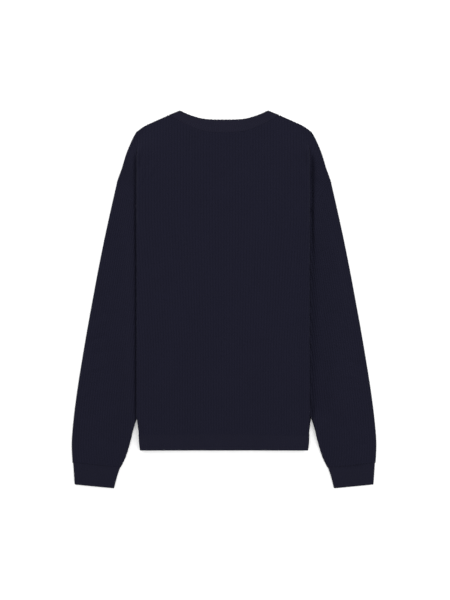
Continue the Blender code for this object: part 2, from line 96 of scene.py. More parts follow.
# how far before a step below it the back begins to rise: close to the fold, and loose
CLOSE_REACH, LOOSE_REACH, CLOSE_AHEAD, LOOSE_AHEAD = 0.050, 0.150, 0.002, 0.012
HUG_WIDTH, ROUNDING = 0.060, 4    # the back comes close to its fold; power of the mean
RIDGE_HALF, RIDGE_SPREAD, RIDGE_SLOPE = 0.020, 0.444, 0.060    # the back over the front bands
SLEEVE_STATIONS = (               # outer edge x, y and inner edge x, y
    (0.2142, 0.2340, 0.0715, 0.0500), (0.2269, 0.1790, 0.0844, 0.0140),
    (0.2400, 0.1190, 0.0987, -0.0260), (0.2520, 0.0590, 0.1130, -0.0660),
    (0.2632, -0.0010, 0.1303, -0.1143), (0.2741, -0.0610, 0.1475, -0.1620),
    (0.2843, -0.1210, 0.1636, -0.2070), (0.2938, -0.1810, 0.1790, -0.2510),
    (0.3008, -0.2350, 0.1882, -0.2870), (0.3050, -0.2850, 0.1970, -0.3150),
    (0.3036, -0.3260, 0.2068, -0.3355))
CUFF_STATIONS = (
    (0.3028, -0.3264, 0.2078, -0.3358), (0.3018, -0.3410, 0.2115, -0.3460),
    (0.3008, -0.3560, 0.2155, -0.3590), (0.2998, -0.3702, 0.2202, -0.3779))
print("body", round(2 * BODY_EDGE[-1][1], 3), "m wide as it lies")

# %% [markdown]
# ## Camera, floor and light
# A flat lay is photographed from straight above. The camera hangs over the middle of the garment so
# far up that one pixel of the frame is two millimetres of cloth. The floor is a plain pale sheet
# that glows a little, as a light table does, so that it stays white. Most of the light comes evenly
# from all round. A broad lamp above on the right brightens that side, and a low one on the left,
# towards the neck, draws the ribs and leaves the body's soft shadow on the right sleeve.

# %% Camera straight above
METRES_PER_PIXEL = 0.0020
IMAGE = (450, 600)
MIDDLE_PIXEL = (224.05, 299.95)   # where the garment's own middle falls in the frame
LENS, SENSOR = 85.0, 36.0
TOP_OF_CLOTH = 0.0110

camera_data = bpy.data.cameras.new("camera")
camera_data.lens, camera_data.sensor_width = LENS, SENSOR
camera = bpy.data.objects.new("camera", camera_data)
distance = LENS / SENSOR * IMAGE[1] * METRES_PER_PIXEL
camera.location = ((IMAGE[0] / 2 - MIDDLE_PIXEL[0]) * METRES_PER_PIXEL,
                   (MIDDLE_PIXEL[1] - IMAGE[1] / 2) * METRES_PER_PIXEL, TOP_OF_CLOTH + distance)
bpy.context.scene.collection.objects.link(camera)
bpy.context.scene.camera = camera
print("camera", round(distance, 3), "m above the cloth")


# %% Floor and lights
def soft_light(name, place, size, power):
    """A square area light at a place, turned to look at the origin."""
    data = bpy.data.lights.new(name, "AREA")
    data.shape, data.size, data.energy = "SQUARE", size, power
    light = bpy.data.objects.new(name, data)
    light.location = place
    x, y, z = place
    light.rotation_euler = (np.arctan2(np.hypot(x, y), z), 0, np.arctan2(x, -y))
    bpy.context.scene.collection.objects.link(light)


def new_finish(name):
    """A material, its node tree and its shader."""
    material = bpy.data.materials.new(name)
    material.use_nodes = True
    return material, material.node_tree, material.node_tree.nodes["Principled BSDF"]


def set_sockets(node, values):
    """Numbers and colours that are the same all over, on the node's own sockets."""
    for name, value in values.items():
        node.inputs[name].default_value = value


def flat_floor(half_width, height, colour, glow):
    """A square sheet with a rough, nearly white finish, which gives off glow."""
    mesh = bpy.data.meshes.new("floor")
    corners = [(x * half_width, y * half_width, height)
               for x, y in ((-1, -1), (1, -1), (1, 1), (-1, 1))]
    mesh.from_pydata(corners, [], [(0, 1, 2, 3)])
    material, _, shader = new_finish("floor paper")
    set_sockets(shader, {"Base Color": (*colour, 1), "Roughness": 0.9, "Specular IOR Level": 0.1,
                         "Emission Color": (1, 1, 1, 1), "Emission Strength": glow})
    mesh.materials.append(material)
    floor = bpy.data.objects.new("floor", mesh)
    bpy.context.scene.collection.objects.link(floor)


FLOOR_GLOW, ROOM_LIGHT = 0.2, 0.85
BELOW_CLOTH = -0.0004             # the floor lies just under the lowest cloth
flat_floor(6.0, BELOW_CLOTH, (0.92, 0.92, 0.92), FLOOR_GLOW)
soft_light("broad light above", (2.4, 0.2, 2.5), 1.8, 40)
soft_light("low light on the left", (-1.9, 1.9, 1.15), 0.8, 33)
world = bpy.data.worlds.new("studio")
world.use_nodes = True
set_sockets(world.node_tree.nodes["Background"], {"Color": (1, 1, 1, 1), "Strength": ROOM_LIGHT})
bpy.context.scene.world = world
bpy.context.scene.view_settings.view_transform = "Standard"
print("floor and two lights placed")

# %% [markdown]
# ## Rib knit as a finish
# The yarn is a matt navy wool with a soft bloom. Two numbers follow the cloth as its UV map: how
# many ribs across, and how many rows of stitches along. From them the nodes work out the stitches:
# each is a V, so its height is a wave along the cloth that comes earlier the further it is from the
# rib's middle. The grooves and the dips between stitches have painted shade: their colour is made
# darker. Sheen gives the bloom of the fibres, and noise in the object's own space gives the small
# unevenness of dyed wool.


# %% Small helpers for nodes
def add_node(tree, kind, inputs=(), **settings):
    """A node with its settings, and its inputs given as numbers or as other nodes' outputs."""
    node = tree.nodes.new(kind)
    for name, value in settings.items():
        setattr(node, name, value)
    for place, value in dict(inputs).items():
        if isinstance(value, bpy.types.NodeSocket):
            tree.links.new(value, node.inputs[place])
        else:
            node.inputs[place].default_value = value
    return node


def calculate(tree, operation, *values):
    """One step of arithmetic in a material."""
    return add_node(tree, "ShaderNodeMath", dict(enumerate(values)), operation=operation).outputs[0]


def noise(tree, places, scale, detail, **more):
    """Soft unevenness in the object's own space."""
    return add_node(tree, "ShaderNodeTexNoise", {"Vector": places, "Scale": scale,
                                                 "Detail": detail, **more}).outputs[0]


def blended(tree, share, first, second):
    """Colour that passes from the first to the second by share."""
    return add_node(tree, "ShaderNodeMix", {0: share, 6: (*first, 1), 7: (*second, 1)},
                    data_type="RGBA").outputs[2]


def raised(tree, shader, height, strength, distance):
    """Relief that bends the light: bump only, with no change of shape."""
    bump = add_node(tree, "ShaderNodeBump",
                    {"Strength": strength, "Distance": distance, "Height": height})
    tree.links.new(bump.outputs[0], shader.inputs["Normal"])


# %% The knit finish
V_LEAN = 0.62                     # how much earlier a stitch's legs start than its middle, in rows


def knit_finish(name, colour, relief, groove):
    """Rib knit: height = wave(row + lean x distance from the rib's middle) x rounded rib.

    The colour has painted shade in the grooves: it is darkened down to the share groove between
    the ribs, and a little more between the stitches. Single fibres and broad patches of the dye
    vary it too.
    """
    material, tree, shader = new_finish(name)
    cloth = add_node(tree, "ShaderNodeSeparateXYZ",
                     {0: add_node(tree, "ShaderNodeUVMap", uv_map="ribs and rows").outputs[0]})
    across = calculate(tree, "FRACT", cloth.outputs[0])
    off_middle = calculate(tree, "ABSOLUTE", calculate(tree, "MULTIPLY_ADD", across, 2.0, -1.0))
    row = calculate(tree, "MULTIPLY_ADD", off_middle, V_LEAN, cloth.outputs[1])
    wave = calculate(tree, "COSINE", calculate(tree, "MULTIPLY", row, 2 * np.pi))
    stitch = calculate(tree, "POWER", calculate(tree, "MULTIPLY_ADD", wave, 0.5, 0.5), 0.6)
    rib = calculate(tree, "SUBTRACT", 1.0, calculate(tree, "POWER", off_middle, 3.0))
    places = add_node(tree, "ShaderNodeTexCoord").outputs["Object"]
    fibre = noise(tree, places, 900.0, 3.0, Roughness=0.7)
    patch = noise(tree, places, 22.0, 2.0)
    height = calculate(tree, "MULTIPLY", stitch, rib)
    height = calculate(tree, "MULTIPLY_ADD", fibre, 0.55, height)
    raised(tree, shader, height, 0.8, relief)
    # painted shade: the colour is darker towards the grooves between the ribs, down to the share
    # groove
    painted_shade_and_dye = calculate(tree, "MULTIPLY_ADD", calculate(tree, "POWER", rib, 0.8), 1 - groove, groove)
    # painted shade between the stitches, where the V dips; single fibres and the dye's patches are
    # the wool's own tone
    for part, varies, least in ((stitch, 0.22, 0.86), (fibre, 0.36, 0.82), (patch, 0.16, 0.92)):
        part = calculate(tree, "MULTIPLY_ADD", part, varies, least)
        painted_shade_and_dye = calculate(tree, "MULTIPLY", painted_shade_and_dye, part)
    tree.links.new(blended(tree, painted_shade_and_dye, (0, 0, 0), colour), shader.inputs["Base Color"])
    set_sockets(shader, {"Roughness": 0.95, "Specular IOR Level": 0.12, "Sheen Weight": 0.09,
                         "Sheen Roughness": 0.35, "Sheen Tint": (0.55, 0.55, 0.75, 1)})
    return material


# groove: the share of the colour left at the bottom of a groove's painted shade
body_knit = knit_finish("navy rib knit", (0.0082, 0.0082, 0.0190), relief=0.00055, groove=0.78)
# painted highlight: the trim and, more so, the neckband are lighter copies of the same navy knit,
# for the light their flatter, finer rib catches
trim_knit_painted_lighter = knit_finish("navy rib trim", (0.0089, 0.0088, 0.0194), relief=0.0004, groove=0.82)
neck_knit_painted_lighter = knit_finish("navy rib neckband", (0.0105, 0.0102, 0.0215), relief=0.0004, groove=0.82)
print("finishes:", body_knit.name, trim_knit_painted_lighter.name, neck_knit_painted_lighter.name, sep=", ")

# %% [markdown]
# ## Curves and the heights of the layers
# The pile is worked out before any cloth is made. Each layer is one thickness above the one below,
# and a loose layer comes down from a step as a soft S. The functions here take whole arrays of
# places at once: x across, and the level, the name of a row of stitches by its height at the side.


# %% Smooth curves through the tables
def smooth_curve(table, at):
    """Cubic through the table's pairs, with slopes taken from the neighbouring pairs."""
    x, y = np.array(table, float).T
    slope = np.gradient(y, x)
    i = np.clip(np.searchsorted(x, at) - 1, 0, len(x) - 2)
    step = x[i + 1] - x[i]
    t = np.clip((at - x[i]) / step, 0, 1)
    first = (1 + 2 * t) * (1 - t) ** 2 * y[i] + t * (1 - t) ** 2 * step * slope[i]
    return first + t * t * (3 - 2 * t) * y[i + 1] + t * t * (t - 1) * step * slope[i + 1]


def ease(value):
    """0 below 0, 1 above 1 and a smooth S between: 3t^2 - 2t^3."""
    t = np.clip(value, 0, 1)
    return t * t * (3 - 2 * t)


def fold_start(level):
    """Where the panel begins to turn round the side edge."""
    return smooth_curve(BODY_EDGE, level) - WALL / 2 - TURN


def tuck_depth(level):
    """How far the side is folded in: at most to the side seam."""
    return np.minimum(smooth_curve(TUCK_DEPTH, level), fold_start(level) - UNDERARM[0])


def tuck_state(level):
    """Share of its full height and share of its full fold that the tuck has at a level."""
    levels, heights, folds = np.array(TUCK_START).T
    return np.interp(level, levels, heights), np.interp(level, levels, folds)


def sleeve_inner_edge(level):
    """The hidden edge of the sleeve: a straight line from the underarm to where it comes out."""
    slope = (SLEEVE_OUT[0] - UNDERARM[0]) / (UNDERARM[1] - SLEEVE_OUT[1])
    return UNDERARM[0] + (UNDERARM[1] - level) * slope


# %% Heights of the back, the tuck and the sleeve
def stacked(x, inner_edge, hug):
    """1 over whatever reaches in to inner_edge, 0 in front of it; hug 1 is a short slope."""
    ahead = LOOSE_AHEAD + (CLOSE_AHEAD - LOOSE_AHEAD) * hug
    reach = LOOSE_REACH + (CLOSE_REACH - LOOSE_REACH) * hug
    return ease((x - inner_edge + ahead + reach) / reach)


def back_height(x, level):
    """Over the bands in the middle and over tuck and sleeve at the sides, by a power mean."""
    share, _ = tuck_state(level)
    tuck_edge = np.maximum(UNDERARM[0], fold_start(level) - tuck_depth(level))
    to_fold = np.clip((fold_start(level) - x) / HUG_WIDTH, 0, 1)
    sleeve_edge = np.where(level >= UNDERARM[1], tuck_edge, sleeve_inner_edge(level))
    sides = 2 * LAYER * share * (stacked(x, tuck_edge, 0) + stacked(x, sleeve_edge, 1 - to_fold))
    spread = RIDGE_HALF + RIDGE_SPREAD * np.maximum(0.0, level - V_HEIGHT)
    settle = 1 - ease((level - BACK_SETTLES[0]) / BACK_SETTLES[1])
    centre = UNDER_LIFT * settle * (1 - ease((x - spread) / RIDGE_SLOPE))
    sides = sides + PUFF * share * ease((x - fold_start(level)) / HUG_WIDTH + 1)
    return LOWEST + LAYER + (centre ** ROUNDING + sides ** ROUNDING) ** (1 / ROUNDING)


def tucked_back_height(x, level):
    """The part of the back that is tucked under, close on the sleeve where there is one."""
    share, _ = tuck_state(level)
    ahead = x - sleeve_inner_edge(level) + TIGHT_AHEAD
    over = np.where(level >= UNDERARM[1], 1.0, np.clip(ahead / TIGHT_REACH + 1, 0, 1))
    return LOWEST + np.where(share < 1, LAYER * (1 + 3 * share), 2 * LAYER * (1 + over))


def drop(x, level):
    """How far cloth outside the body has come down: 0 at the fold, 1 clear of it."""
    edge = smooth_curve(BODY_EDGE, np.clip(level, HEM_BOTTOM, CORNER[1])) + CLEAR_OF_FOLD
    width = np.where(level > NOTCH[1], smooth_curve(CAP_EDGE, level) - edge, DROP)
    below = np.maximum(0, HEM_BOTTOM - level)
    return ease(np.hypot(np.maximum(0, x - edge), below) / np.maximum(width, FOLD_MARGIN))


# %% How a sleeve lies beside the body
# each has its height, the distance of its middle from the body's edge, and its width
LEFT_BESIDE = {"groove": (0.0026, 0.0022, 0.0026), "hollow": (0.0, 0.010, 0.010),
               "swell": (0.0038, 0.012, 0.013)}
RIGHT_BESIDE = {"groove": (0.0052, 0.0008, 0.0042), "hollow": (0.0056, 0.0170, 0.0210),
                "swell": (0.0050, 0.0560, 0.0260)}
GROOVE_TOP, GROOVE_FADE = 0.300, 0.030       # it ends here, below the shoulder
OPEN_BELOW, OPEN_FADE = 0.020, 0.060         # and below the place where the sleeve comes out
HOLLOW_FROM, HOLLOW_OVER = 0.160, 0.100
SWELL_ROOM = 0.025                # the swell fades over this last stretch to the outer edge
THIN_PAIR = 0.0016                # least distance of two pressed walls' middles
PUFF = 0.0012                     # the springy layers hold the back this much higher at its folds
RIGHT_NIP, NIP_REACH, NIP_FADE = 0.0036, 0.030, 0.06   # the right fold is pulled in a little


def beside_body(x, y, upper, room, shape):
    """Height added beside the body's fold: a groove and a hollow sink it, and a swell lifts it.

    Each is a bell across, exp(-(distance / width)^2). They fade out where the sleeve leaves the
    body and at the shoulder, and the swell also where the room to the outer edge runs out.
    """
    away = x - smooth_curve(BODY_EDGE, np.clip(y, HEM_BOTTOM, CORNER[1]))
    beside = (ease((y - SLEEVE_OUT[1] + OPEN_BELOW) / OPEN_FADE)
              * ease((GROOVE_TOP - y) / GROOVE_FADE))
    lower_down = ease((HOLLOW_FROM - y) / HOLLOW_OVER)

    def bell(name):
        height, middle, width = shape[name]
        return height * np.exp(-((away - middle) / width) ** 2)

    sunk = bell("groove") + bell("hollow") * lower_down
    if upper:
        return beside * (bell("swell") * lower_down * ease(room / SWELL_ROOM) - sunk)
    return -beside * sunk * ease(away / FOLD_MARGIN)


# %% Rows that bend up to the shoulder line
def front_top(x):
    """Upper edge of a front: the shoulder line."""
    return smooth_curve(SHOULDER_EDGE, np.maximum(x, NECK_POINT[0]))


def panel_top(x):
    """Upper edge of the back: the neckband's seam, then the shoulder line."""
    neck = smooth_curve(NECK_SEAM, x) - SEAM
    return np.where(x < BAND_SHOULDER[0], neck, smooth_curve(SHOULDER_EDGE, x))


def row_height(x, level, top_edge):
    """y of a row: level at the side, and bent up towards the top edge as it nears it."""
    rise = np.clip((level - RISE_BEGINS) / (CORNER[1] - RISE_BEGINS), 0, 1) ** RISE_POWER
    return level + rise * (top_edge(np.minimum(x, CORNER[0])) - CORNER[1])


print("middle of the back lies", round(float(back_height(0.0, 0.0)) * 1000, 1), "mm up")

# %% [markdown]
# ## A folded side
# The side of the back or of a front is one flat cloth that turns round the body's edge, runs in,
# turns round again and runs out to the cap or the armhole. Walking along the cloth by its own
# length, the place across is a sum of five terms, one for each stretch, so the whole side is one
# formula and the ribs keep their true width through both folds.


# %% The folded side as one formula
NEAR_FOLD = 0.012                 # over this width the top layer settles on the fold's own height


def cloth_end(level):
    """x where the outward layer ends: on the armhole seam, or on the sleeve cap above the notch."""
    along = np.clip((level - UNDERARM[1]) / (NOTCH[1] - UNDERARM[1]), 0, 1)
    armhole = UNDERARM[0] + along * (NOTCH[0] - UNDERARM[0])
    return np.where(level >= NOTCH[1], smooth_curve(CAP_EDGE, level), armhole)


def cloth_length(level):
    """Length of cloth from the middle of the body to the panel's end, along both folds."""
    _, fold = tuck_state(level)
    once = fold_start(level) + np.pi * TURN + tuck_depth(level)
    twice = once + np.pi * TURN + cloth_end(level) - (fold_start(level) - tuck_depth(level))
    return np.where(level < UNDERARM[1], once, twice * fold + cloth_end(level) * (1 - fold))


def folded_side(u, level, top, tucked, lowest, gap, beside):
    """(x, z) at the length u along the cloth; gap is the height from the tuck to the first layer.

    x = flat + radius sin(first turn) - way in - radius sin(second turn) + way out; z passes from
    each layer's height to the next as (1 - cos of the turn) / 2. Near the corner the fold fades
    into a plain slope by the fold's share.
    """
    share, fold = tuck_state(level)
    edge, depth, end = fold_start(level), tuck_depth(level), cloth_end(level)
    start = SWELL_START + (edge - SWELL_START) * fold
    once = edge + np.pi * TURN + depth
    full = np.where(level < UNDERARM[1], once, once + np.pi * TURN + end - (edge - depth))
    along = (u - start) / (cloth_length(level) - start)
    w = np.where(u > start, start + along * (full - start), u)
    turn_one = np.clip((w - edge) / TURN, 0, np.pi)
    turn_two = np.clip((w - once) / TURN, 0, np.pi)
    x = (np.minimum(w, edge) + TURN * np.sin(turn_one) - np.clip(w - edge - np.pi * TURN, 0, depth)
         - TURN * np.sin(turn_two) + np.maximum(w - once - np.pi * TURN, 0))
    z_top, z_tucked = top(np.minimum(x, edge)), tucked(x)
    z_out = lowest + 2 * LAYER * share * (1 - drop(x, level))
    z_out = z_out + share * beside_body(x, level, gap > 0, end - x, beside)
    z_out = np.maximum(z_out, LOWEST + (THIN_PAIR if gap > 0 else 0))
    near = ease((w - edge + NEAR_FOLD) / NEAR_FOLD)
    z_top = z_top + near * (tucked(edge) + gap * share - top(edge))
    z = (z_top + (z_tucked - z_top) * (1 - np.cos(turn_one)) / 2
         + (z_out - z_tucked) * (1 - np.cos(turn_two)) / 2)
    flat_x = start + (end - start) * along
    flat_z = top(start) + (lowest - top(start)) * ease(along)
    beyond = (u > start) * (1 - fold)
    return x + (flat_x - x) * beyond, z + (flat_z - z) * beyond


print("cloth at the chest, flat:", round(2 * float(cloth_length(0.0)), 3), "m")

# %% [markdown]
# ## From a grid of points to knitted cloth
# Every piece is a grid: columns lie four to a rib, so grooves and tops fall on columns, and a row
# is cut off where its cloth ends. The relief is added along the surface's own direction: a rib is
# round, sqrt(4f(1-f)) across its width f, with a narrow groove. The piece's border is then
# carried round the edge by a few more rows of points, so that no edge looks thin as paper.

# %% Ribs
RIB_COLUMNS = (0.0, 0.2, 0.5, 0.8)     # shares of a rib's width where the grid has a column
RIB_DEPTH = 0.00065                    # depth of the grooves
COURSE = 0.0030                        # height of one row of stitches
WAIST, CHEST = -0.10, 0.16             # the ribs widen between these two levels
NARROW_RIB, WIDE_RIB = 0.0052, 0.0058


def rib_places(first, last):
    """Places across the cloth in ribs, from rib first to rib last."""
    places = np.arange(first, last)[:, None] + np.array(RIB_COLUMNS)
    return np.append(places.ravel(), last)


def rib_round(place):
    """Height of a rib from 0 in the groove to 1 on top: sqrt(4f(1-f))."""
    f = place - np.floor(place)
    return np.sqrt(4 * f * (1 - f))


def ribbed_skin(place, depth=RIB_DEPTH):
    """Distance of the skin from the wall's middle: half the wall on a rib, less in a groove."""
    return WALL / 2 - depth * (1 - rib_round(place))


def rib_width(level):
    """The knit draws in towards the hem, so ribs are wider over the shoulders."""
    return np.interp(level, (WAIST, CHEST), (NARROW_RIB, WIDE_RIB))


def facing(points):
    """Direction across the surface at each grid place: column step x row step."""
    way = np.cross(np.gradient(points, axis=1), np.gradient(points, axis=0))
    return way / np.maximum(np.linalg.norm(way, axis=2, keepdims=True), 1e-12)


# %% Creases
LEAN, TAPER = 0.45, 0.5           # how much steeper one flank is, and how much wider one end


def creases(x, y, table):
    """Sum of soft troughs (depth below 0) and ridges, each bent, uneven and fading at its ends.

    Each row is x, y, direction in degrees, length, width, depth, bend. Across a crease the height
    is exp(-(distance / width)^2), and one flank is steeper than the other.
    """
    total = np.zeros_like(x)
    for at_x, at_y, degrees, length, width, depth, bend in table:
        c, s = np.cos(np.radians(degrees)), np.sin(np.radians(degrees))
        along = ((x - at_x) * c + (y - at_y) * s) / length
        across = (-(x - at_x) * s + (y - at_y) * c) - bend * along ** 2
        flank = width * (1 + LEAN * np.tanh(across / width)) * (1 + TAPER * along)
        total += depth * np.exp(-(across / flank) ** 2) * np.exp(-(2 * along) ** 4)
    return total


def gentle_waves(x, y, amount, turn):
    """Slow unevenness of laid cloth: three crossing sines of different lengths."""
    return amount * (np.sin(21 * x + 9 * y + turn) + 0.8 * np.sin(-14 * x + 17 * y + 2.1 * turn)
                     + 0.5 * np.sin(38 * x - 11 * y + 0.7 * turn)) / 2.3


# %% Mesh of a grid whose rows may end early
def new_piece(name, points, faces, finish, map_name, places, repair=None):
    """A visible piece with a UV map of places, one for each corner of its faces."""
    mesh = bpy.data.meshes.new(name)
    mesh.from_pydata(points.tolist(), [], faces)
    layer = mesh.uv_layers.new(name=map_name)
    layer.data.foreach_set("uv", places.astype(np.float32).ravel())
    mesh.shade_smooth()
    mesh.materials.append(finish)
    if repair:
        shape = bmesh.new()
        shape.from_mesh(mesh)
        repair(shape)
        shape.to_mesh(mesh)
        shape.free()
    piece = bpy.data.objects.new(name, mesh)
    bpy.context.scene.collection.objects.link(piece)
    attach(piece, "root")
    return piece


def joined(shape):
    """Makes one point of points on the same place, as where a strip's ends meet."""
    bmesh.ops.remove_doubles(shape, verts=shape.verts, dist=1e-6)


def cloth_piece(node, points, cloth, finish, low=None, high=None, weld=False, wrap=False,
                flip=False, edges=()):
    """Makes the mesh of a piece and its UV map of ribs and rows, in the place of its CAD node.

    low and high are each row's first and last column; weld joins them, for a tube. wrap joins the
    last row to the first. edges are (row numbers, column numbers, extra rows of points), and the
    extra rows go all round.
    """
    rows, columns = points.shape[:2]
    low = np.zeros(rows, int) if low is None else low
    high = np.full(rows, columns - 1) if high is None else high
    column = np.clip(np.arange(columns)[None, :], low[:, None], high[:, None])
    number = np.arange(rows)[:, None] * columns + column
    if weld:
        first = (np.arange(rows) * columns + low)[:, None]
        number = np.where(column == high[:, None], first, number)
    place = np.arange(rows * columns).reshape(rows, columns)
    if wrap:
        number, place = np.vstack([number, number[:1]]), np.vstack([place, place[:1]])

    def corners(grid):
        return np.stack([grid[:-1, :-1], grid[:-1, 1:], grid[1:, 1:], grid[1:, :-1]],
                        axis=-1).reshape(-1, 4)

    quad, source = corners(number), corners(place)
    same_low, same_high = quad[:, 0] == quad[:, 1], quad[:, 2] == quad[:, 3]
    whole, low_point, high_point = (~same_low & ~same_high, same_low & ~same_high,
                                    ~same_low & same_high)
    faces = [quad[whole], quad[low_point][:, [0, 2, 3]], quad[high_point][:, [0, 1, 2]]]
    sources = [source[whole], source[low_point][:, [0, 2, 3]], source[high_point][:, [0, 1, 2]]]
    all_points, all_cloth = [points.reshape(-1, 3)], [cloth.reshape(-1, 2)]
    count = rows * columns
    for edge_rows, edge_columns, extra in edges:
        line = number[edge_rows, edge_columns]
        line_place = place[edge_rows, edge_columns]
        added = count + np.arange(extra.shape[0] * extra.shape[1]).reshape(extra.shape[:2])
        count += added.size
        all_points.append(extra.reshape(-1, 3))
        all_cloth.append(np.tile(cloth.reshape(-1, 2)[line_place], (extra.shape[0], 1)))
        for kept, first_line in ((faces, line), (sources, line_place)):
            strip = np.vstack([first_line, added])
            kept.append(corners(np.hstack([strip, strip[:, :1]])))
    all_points, all_cloth = np.vstack(all_points), np.vstack(all_cloth)
    if flip:
        faces = [part[:, ::-1] for part in faces]
        sources = [part[:, ::-1] for part in sources]
    used, renumbered = np.unique(np.concatenate([part.ravel() for part in faces]),
                                 return_inverse=True)
    ends = np.cumsum([part.size for part in faces])[:-1]
    face_list = []
    for part, new in zip(faces, np.split(renumbered, ends)):
        face_list += new.reshape(part.shape).tolist()
    corner_cloth = all_cloth[np.concatenate([part.ravel() for part in sources])]
    piece = new_piece(f"{node}_knit", all_points[used], face_list, finish, "ribs and rows",
                      corner_cloth, joined if wrap else None)
    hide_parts(node)
    print(f"{piece.name}: {sum(len(face) - 2 for face in face_list)} triangles")
    return piece


# %% Edges that turn to a seam
SHOULDER_ROUND = ((0.0010, 0.00012), (0.0018, 0.0005), (0.0022, 0.0011), (0.0024, 0.00185),
                  (0.0016, 0.0020))
PLAIN_ROUND = ((0.0010, 0.0), (0.0016, 0.0002), (0.0020, 0.0006), (0.0030, 0.0013),
               (0.0045, 0.0021))         # the last row runs on under the next piece, as a seam does
CORNER_FADE = 0.014               # over this length the one rounding passes into the other
SEAM_MARGIN = 0.003               # the shoulder's rounding starts this far below the notch
INSET = 0.0015                    # the grid stops this far inside the outline
SCALLOP, SCALLOP_LENGTH = 0.00055, 0.0073    # a sewn edge bumps out between its stitches
FOLD_INSET, FOLD_FADE = 0.0015, 0.006        # creases fade before they reach the side fold


def row_ends(raw, first, last):
    """Each row's first and last column: the ones that are pulled in to the ends of its cloth."""
    return (np.argmax(raw > first, axis=1) - 1,
            raw.shape[1] - np.argmax(raw[:, ::-1] < last[:, ::-1], axis=1))


def border(low, high):
    """Row and column numbers along the top row, down one side, the bottom row and up the other."""
    rows = np.arange(len(low))
    return (np.concatenate([np.full(high[-1] - low[-1] + 1, rows[-1]), rows[::-1][1:],
                            np.full(high[0] - low[0] - 1, 0), rows[:-1]]),
            np.concatenate([np.arange(low[-1], high[-1] + 1), high[::-1][1:],
                            np.arange(low[0] + 1, high[0])[::-1], low[:-1]]))


def carried_edge(line, turn, seam_share):
    """Rows of points beyond a border line of points, walked clockwise seen along the facing.

    Each row is so far out, plus a row of bumps on the shoulder's seam, and turn x so far down:
    both pass from the plain to the shoulder's own rounding by seam_share.
    """
    step = np.gradient(line[:, :2], axis=0)
    step /= np.maximum(np.linalg.norm(step, axis=1), 1e-12)[:, None]
    out = np.stack([-step[:, 1], step[:, 0]], axis=1)
    length = np.append(0, np.cumsum(np.linalg.norm(np.diff(line[:, :2], axis=0), axis=1)))
    wave = seam_share * SCALLOP * np.abs(np.sin(np.pi * length / SCALLOP_LENGTH))
    rows = []
    for plain, rounded in zip(PLAIN_ROUND, SHOULDER_ROUND):
        far = plain[0] + (rounded[0] - plain[0]) * seam_share + wave
        down = plain[1] + (rounded[1] - plain[1]) * seam_share
        rows.append(np.column_stack([line[:, :2] + out * far[:, None], line[:, 2] + turn * down]))
    return np.array(rows)


print("a rib is", rib_width(0.0).round(4), "m wide at the waist")

# %% [markdown]
# ## The back panel
# The largest piece and the one that faces the camera. It lies over both bands in the middle and
# over the tucked sides and the sleeves at its edges, so its surface is not quite flat. It is
# knitted in one width: over a hundred ribs, of which some sixty show. Beside each shoulder corner
# a small dimple shows where the tuck begins, with one or two short diagonal marks.

# %% Rows and columns of the back
BODY_RIBS = 56                    # on each side of the middle, folds and caps counted in


def panel_levels(below, above):
    """Levels of a panel's rows: so many below the chest and, closer together, so many above."""
    return np.concatenate([np.linspace(HEM_TOP, CHEST, below)[:-1],
                           np.linspace(CHEST, CORNER[1] - INSET, above)])


BODY_LEVELS = panel_levels(108, 94)
BACK_CREASES = (
    # x, y, direction, length, width, depth, bend
    (-0.1665, 0.2790, 82, 0.034, 0.0050, -0.0022, 0.001),
    (0.1660, 0.2800, 98, 0.034, 0.0050, -0.0022, -0.001),
    (-0.1530, 0.2700, 60, 0.032, 0.0040, -0.0010, 0.002),
    (-0.1450, 0.2560, 66, 0.026, 0.0038, 0.0008, 0.001),
    (-0.1640, 0.2440, 74, 0.040, 0.0045, 0.0007, 0.002),
    (0.1520, 0.2720, 118, 0.030, 0.0042, -0.0008, -0.002),
    (0.1630, 0.2450, 104, 0.042, 0.0045, 0.0008, -0.002),
    (-0.1080, -0.1560, 84, 0.090, 0.0110, 0.0008, 0.004),
    (-0.1290, -0.1280, 64, 0.050, 0.0080, -0.0008, 0.003),
    (0.1130, -0.1870, 97, 0.080, 0.0110, 0.0007, -0.004),
    (0.0620, 0.0540, 88, 0.130, 0.0140, -0.0006, 0.004),
    (-0.0560, 0.0160, 94, 0.150, 0.0150, 0.0006, -0.004),
    (0.0150, 0.2500, 90, 0.100, 0.0130, 0.0005, 0.003),
    (-0.0700, -0.2440, 12, 0.080, 0.0060, -0.0005, 0.002),
    (0.0880, -0.2500, 170, 0.070, 0.0060, -0.0005, 0.002),
)


def back_middle(u, level):
    """The middle of the back panel at the length u along the cloth, and at a level."""
    halves = []
    for beside in (LEFT_BESIDE, RIGHT_BESIDE):
        x, z = folded_side(np.abs(u), level, lambda at: back_height(at, level),
                           lambda at: tucked_back_height(at, level), LOWEST + LAYER,
                           LAYER + PUFF, beside)
        halves.append(z)
    z = np.where(u < 0, *halves)
    edge = fold_start(level)
    on_out = np.clip((np.abs(u) - edge - np.pi * TURN - tuck_depth(level)) / TURN, 0, np.pi)
    nip = RIGHT_NIP * (u > 0) * (1 + np.cos(on_out)) / 2
    nip = nip * ease((level - BODY_EDGE[1][0]) / NIP_FADE)
    x = x - nip * ease((x - edge) / NIP_REACH + 1)
    return np.stack([np.sign(u) * x, row_height(x, level, panel_top), z], axis=2)


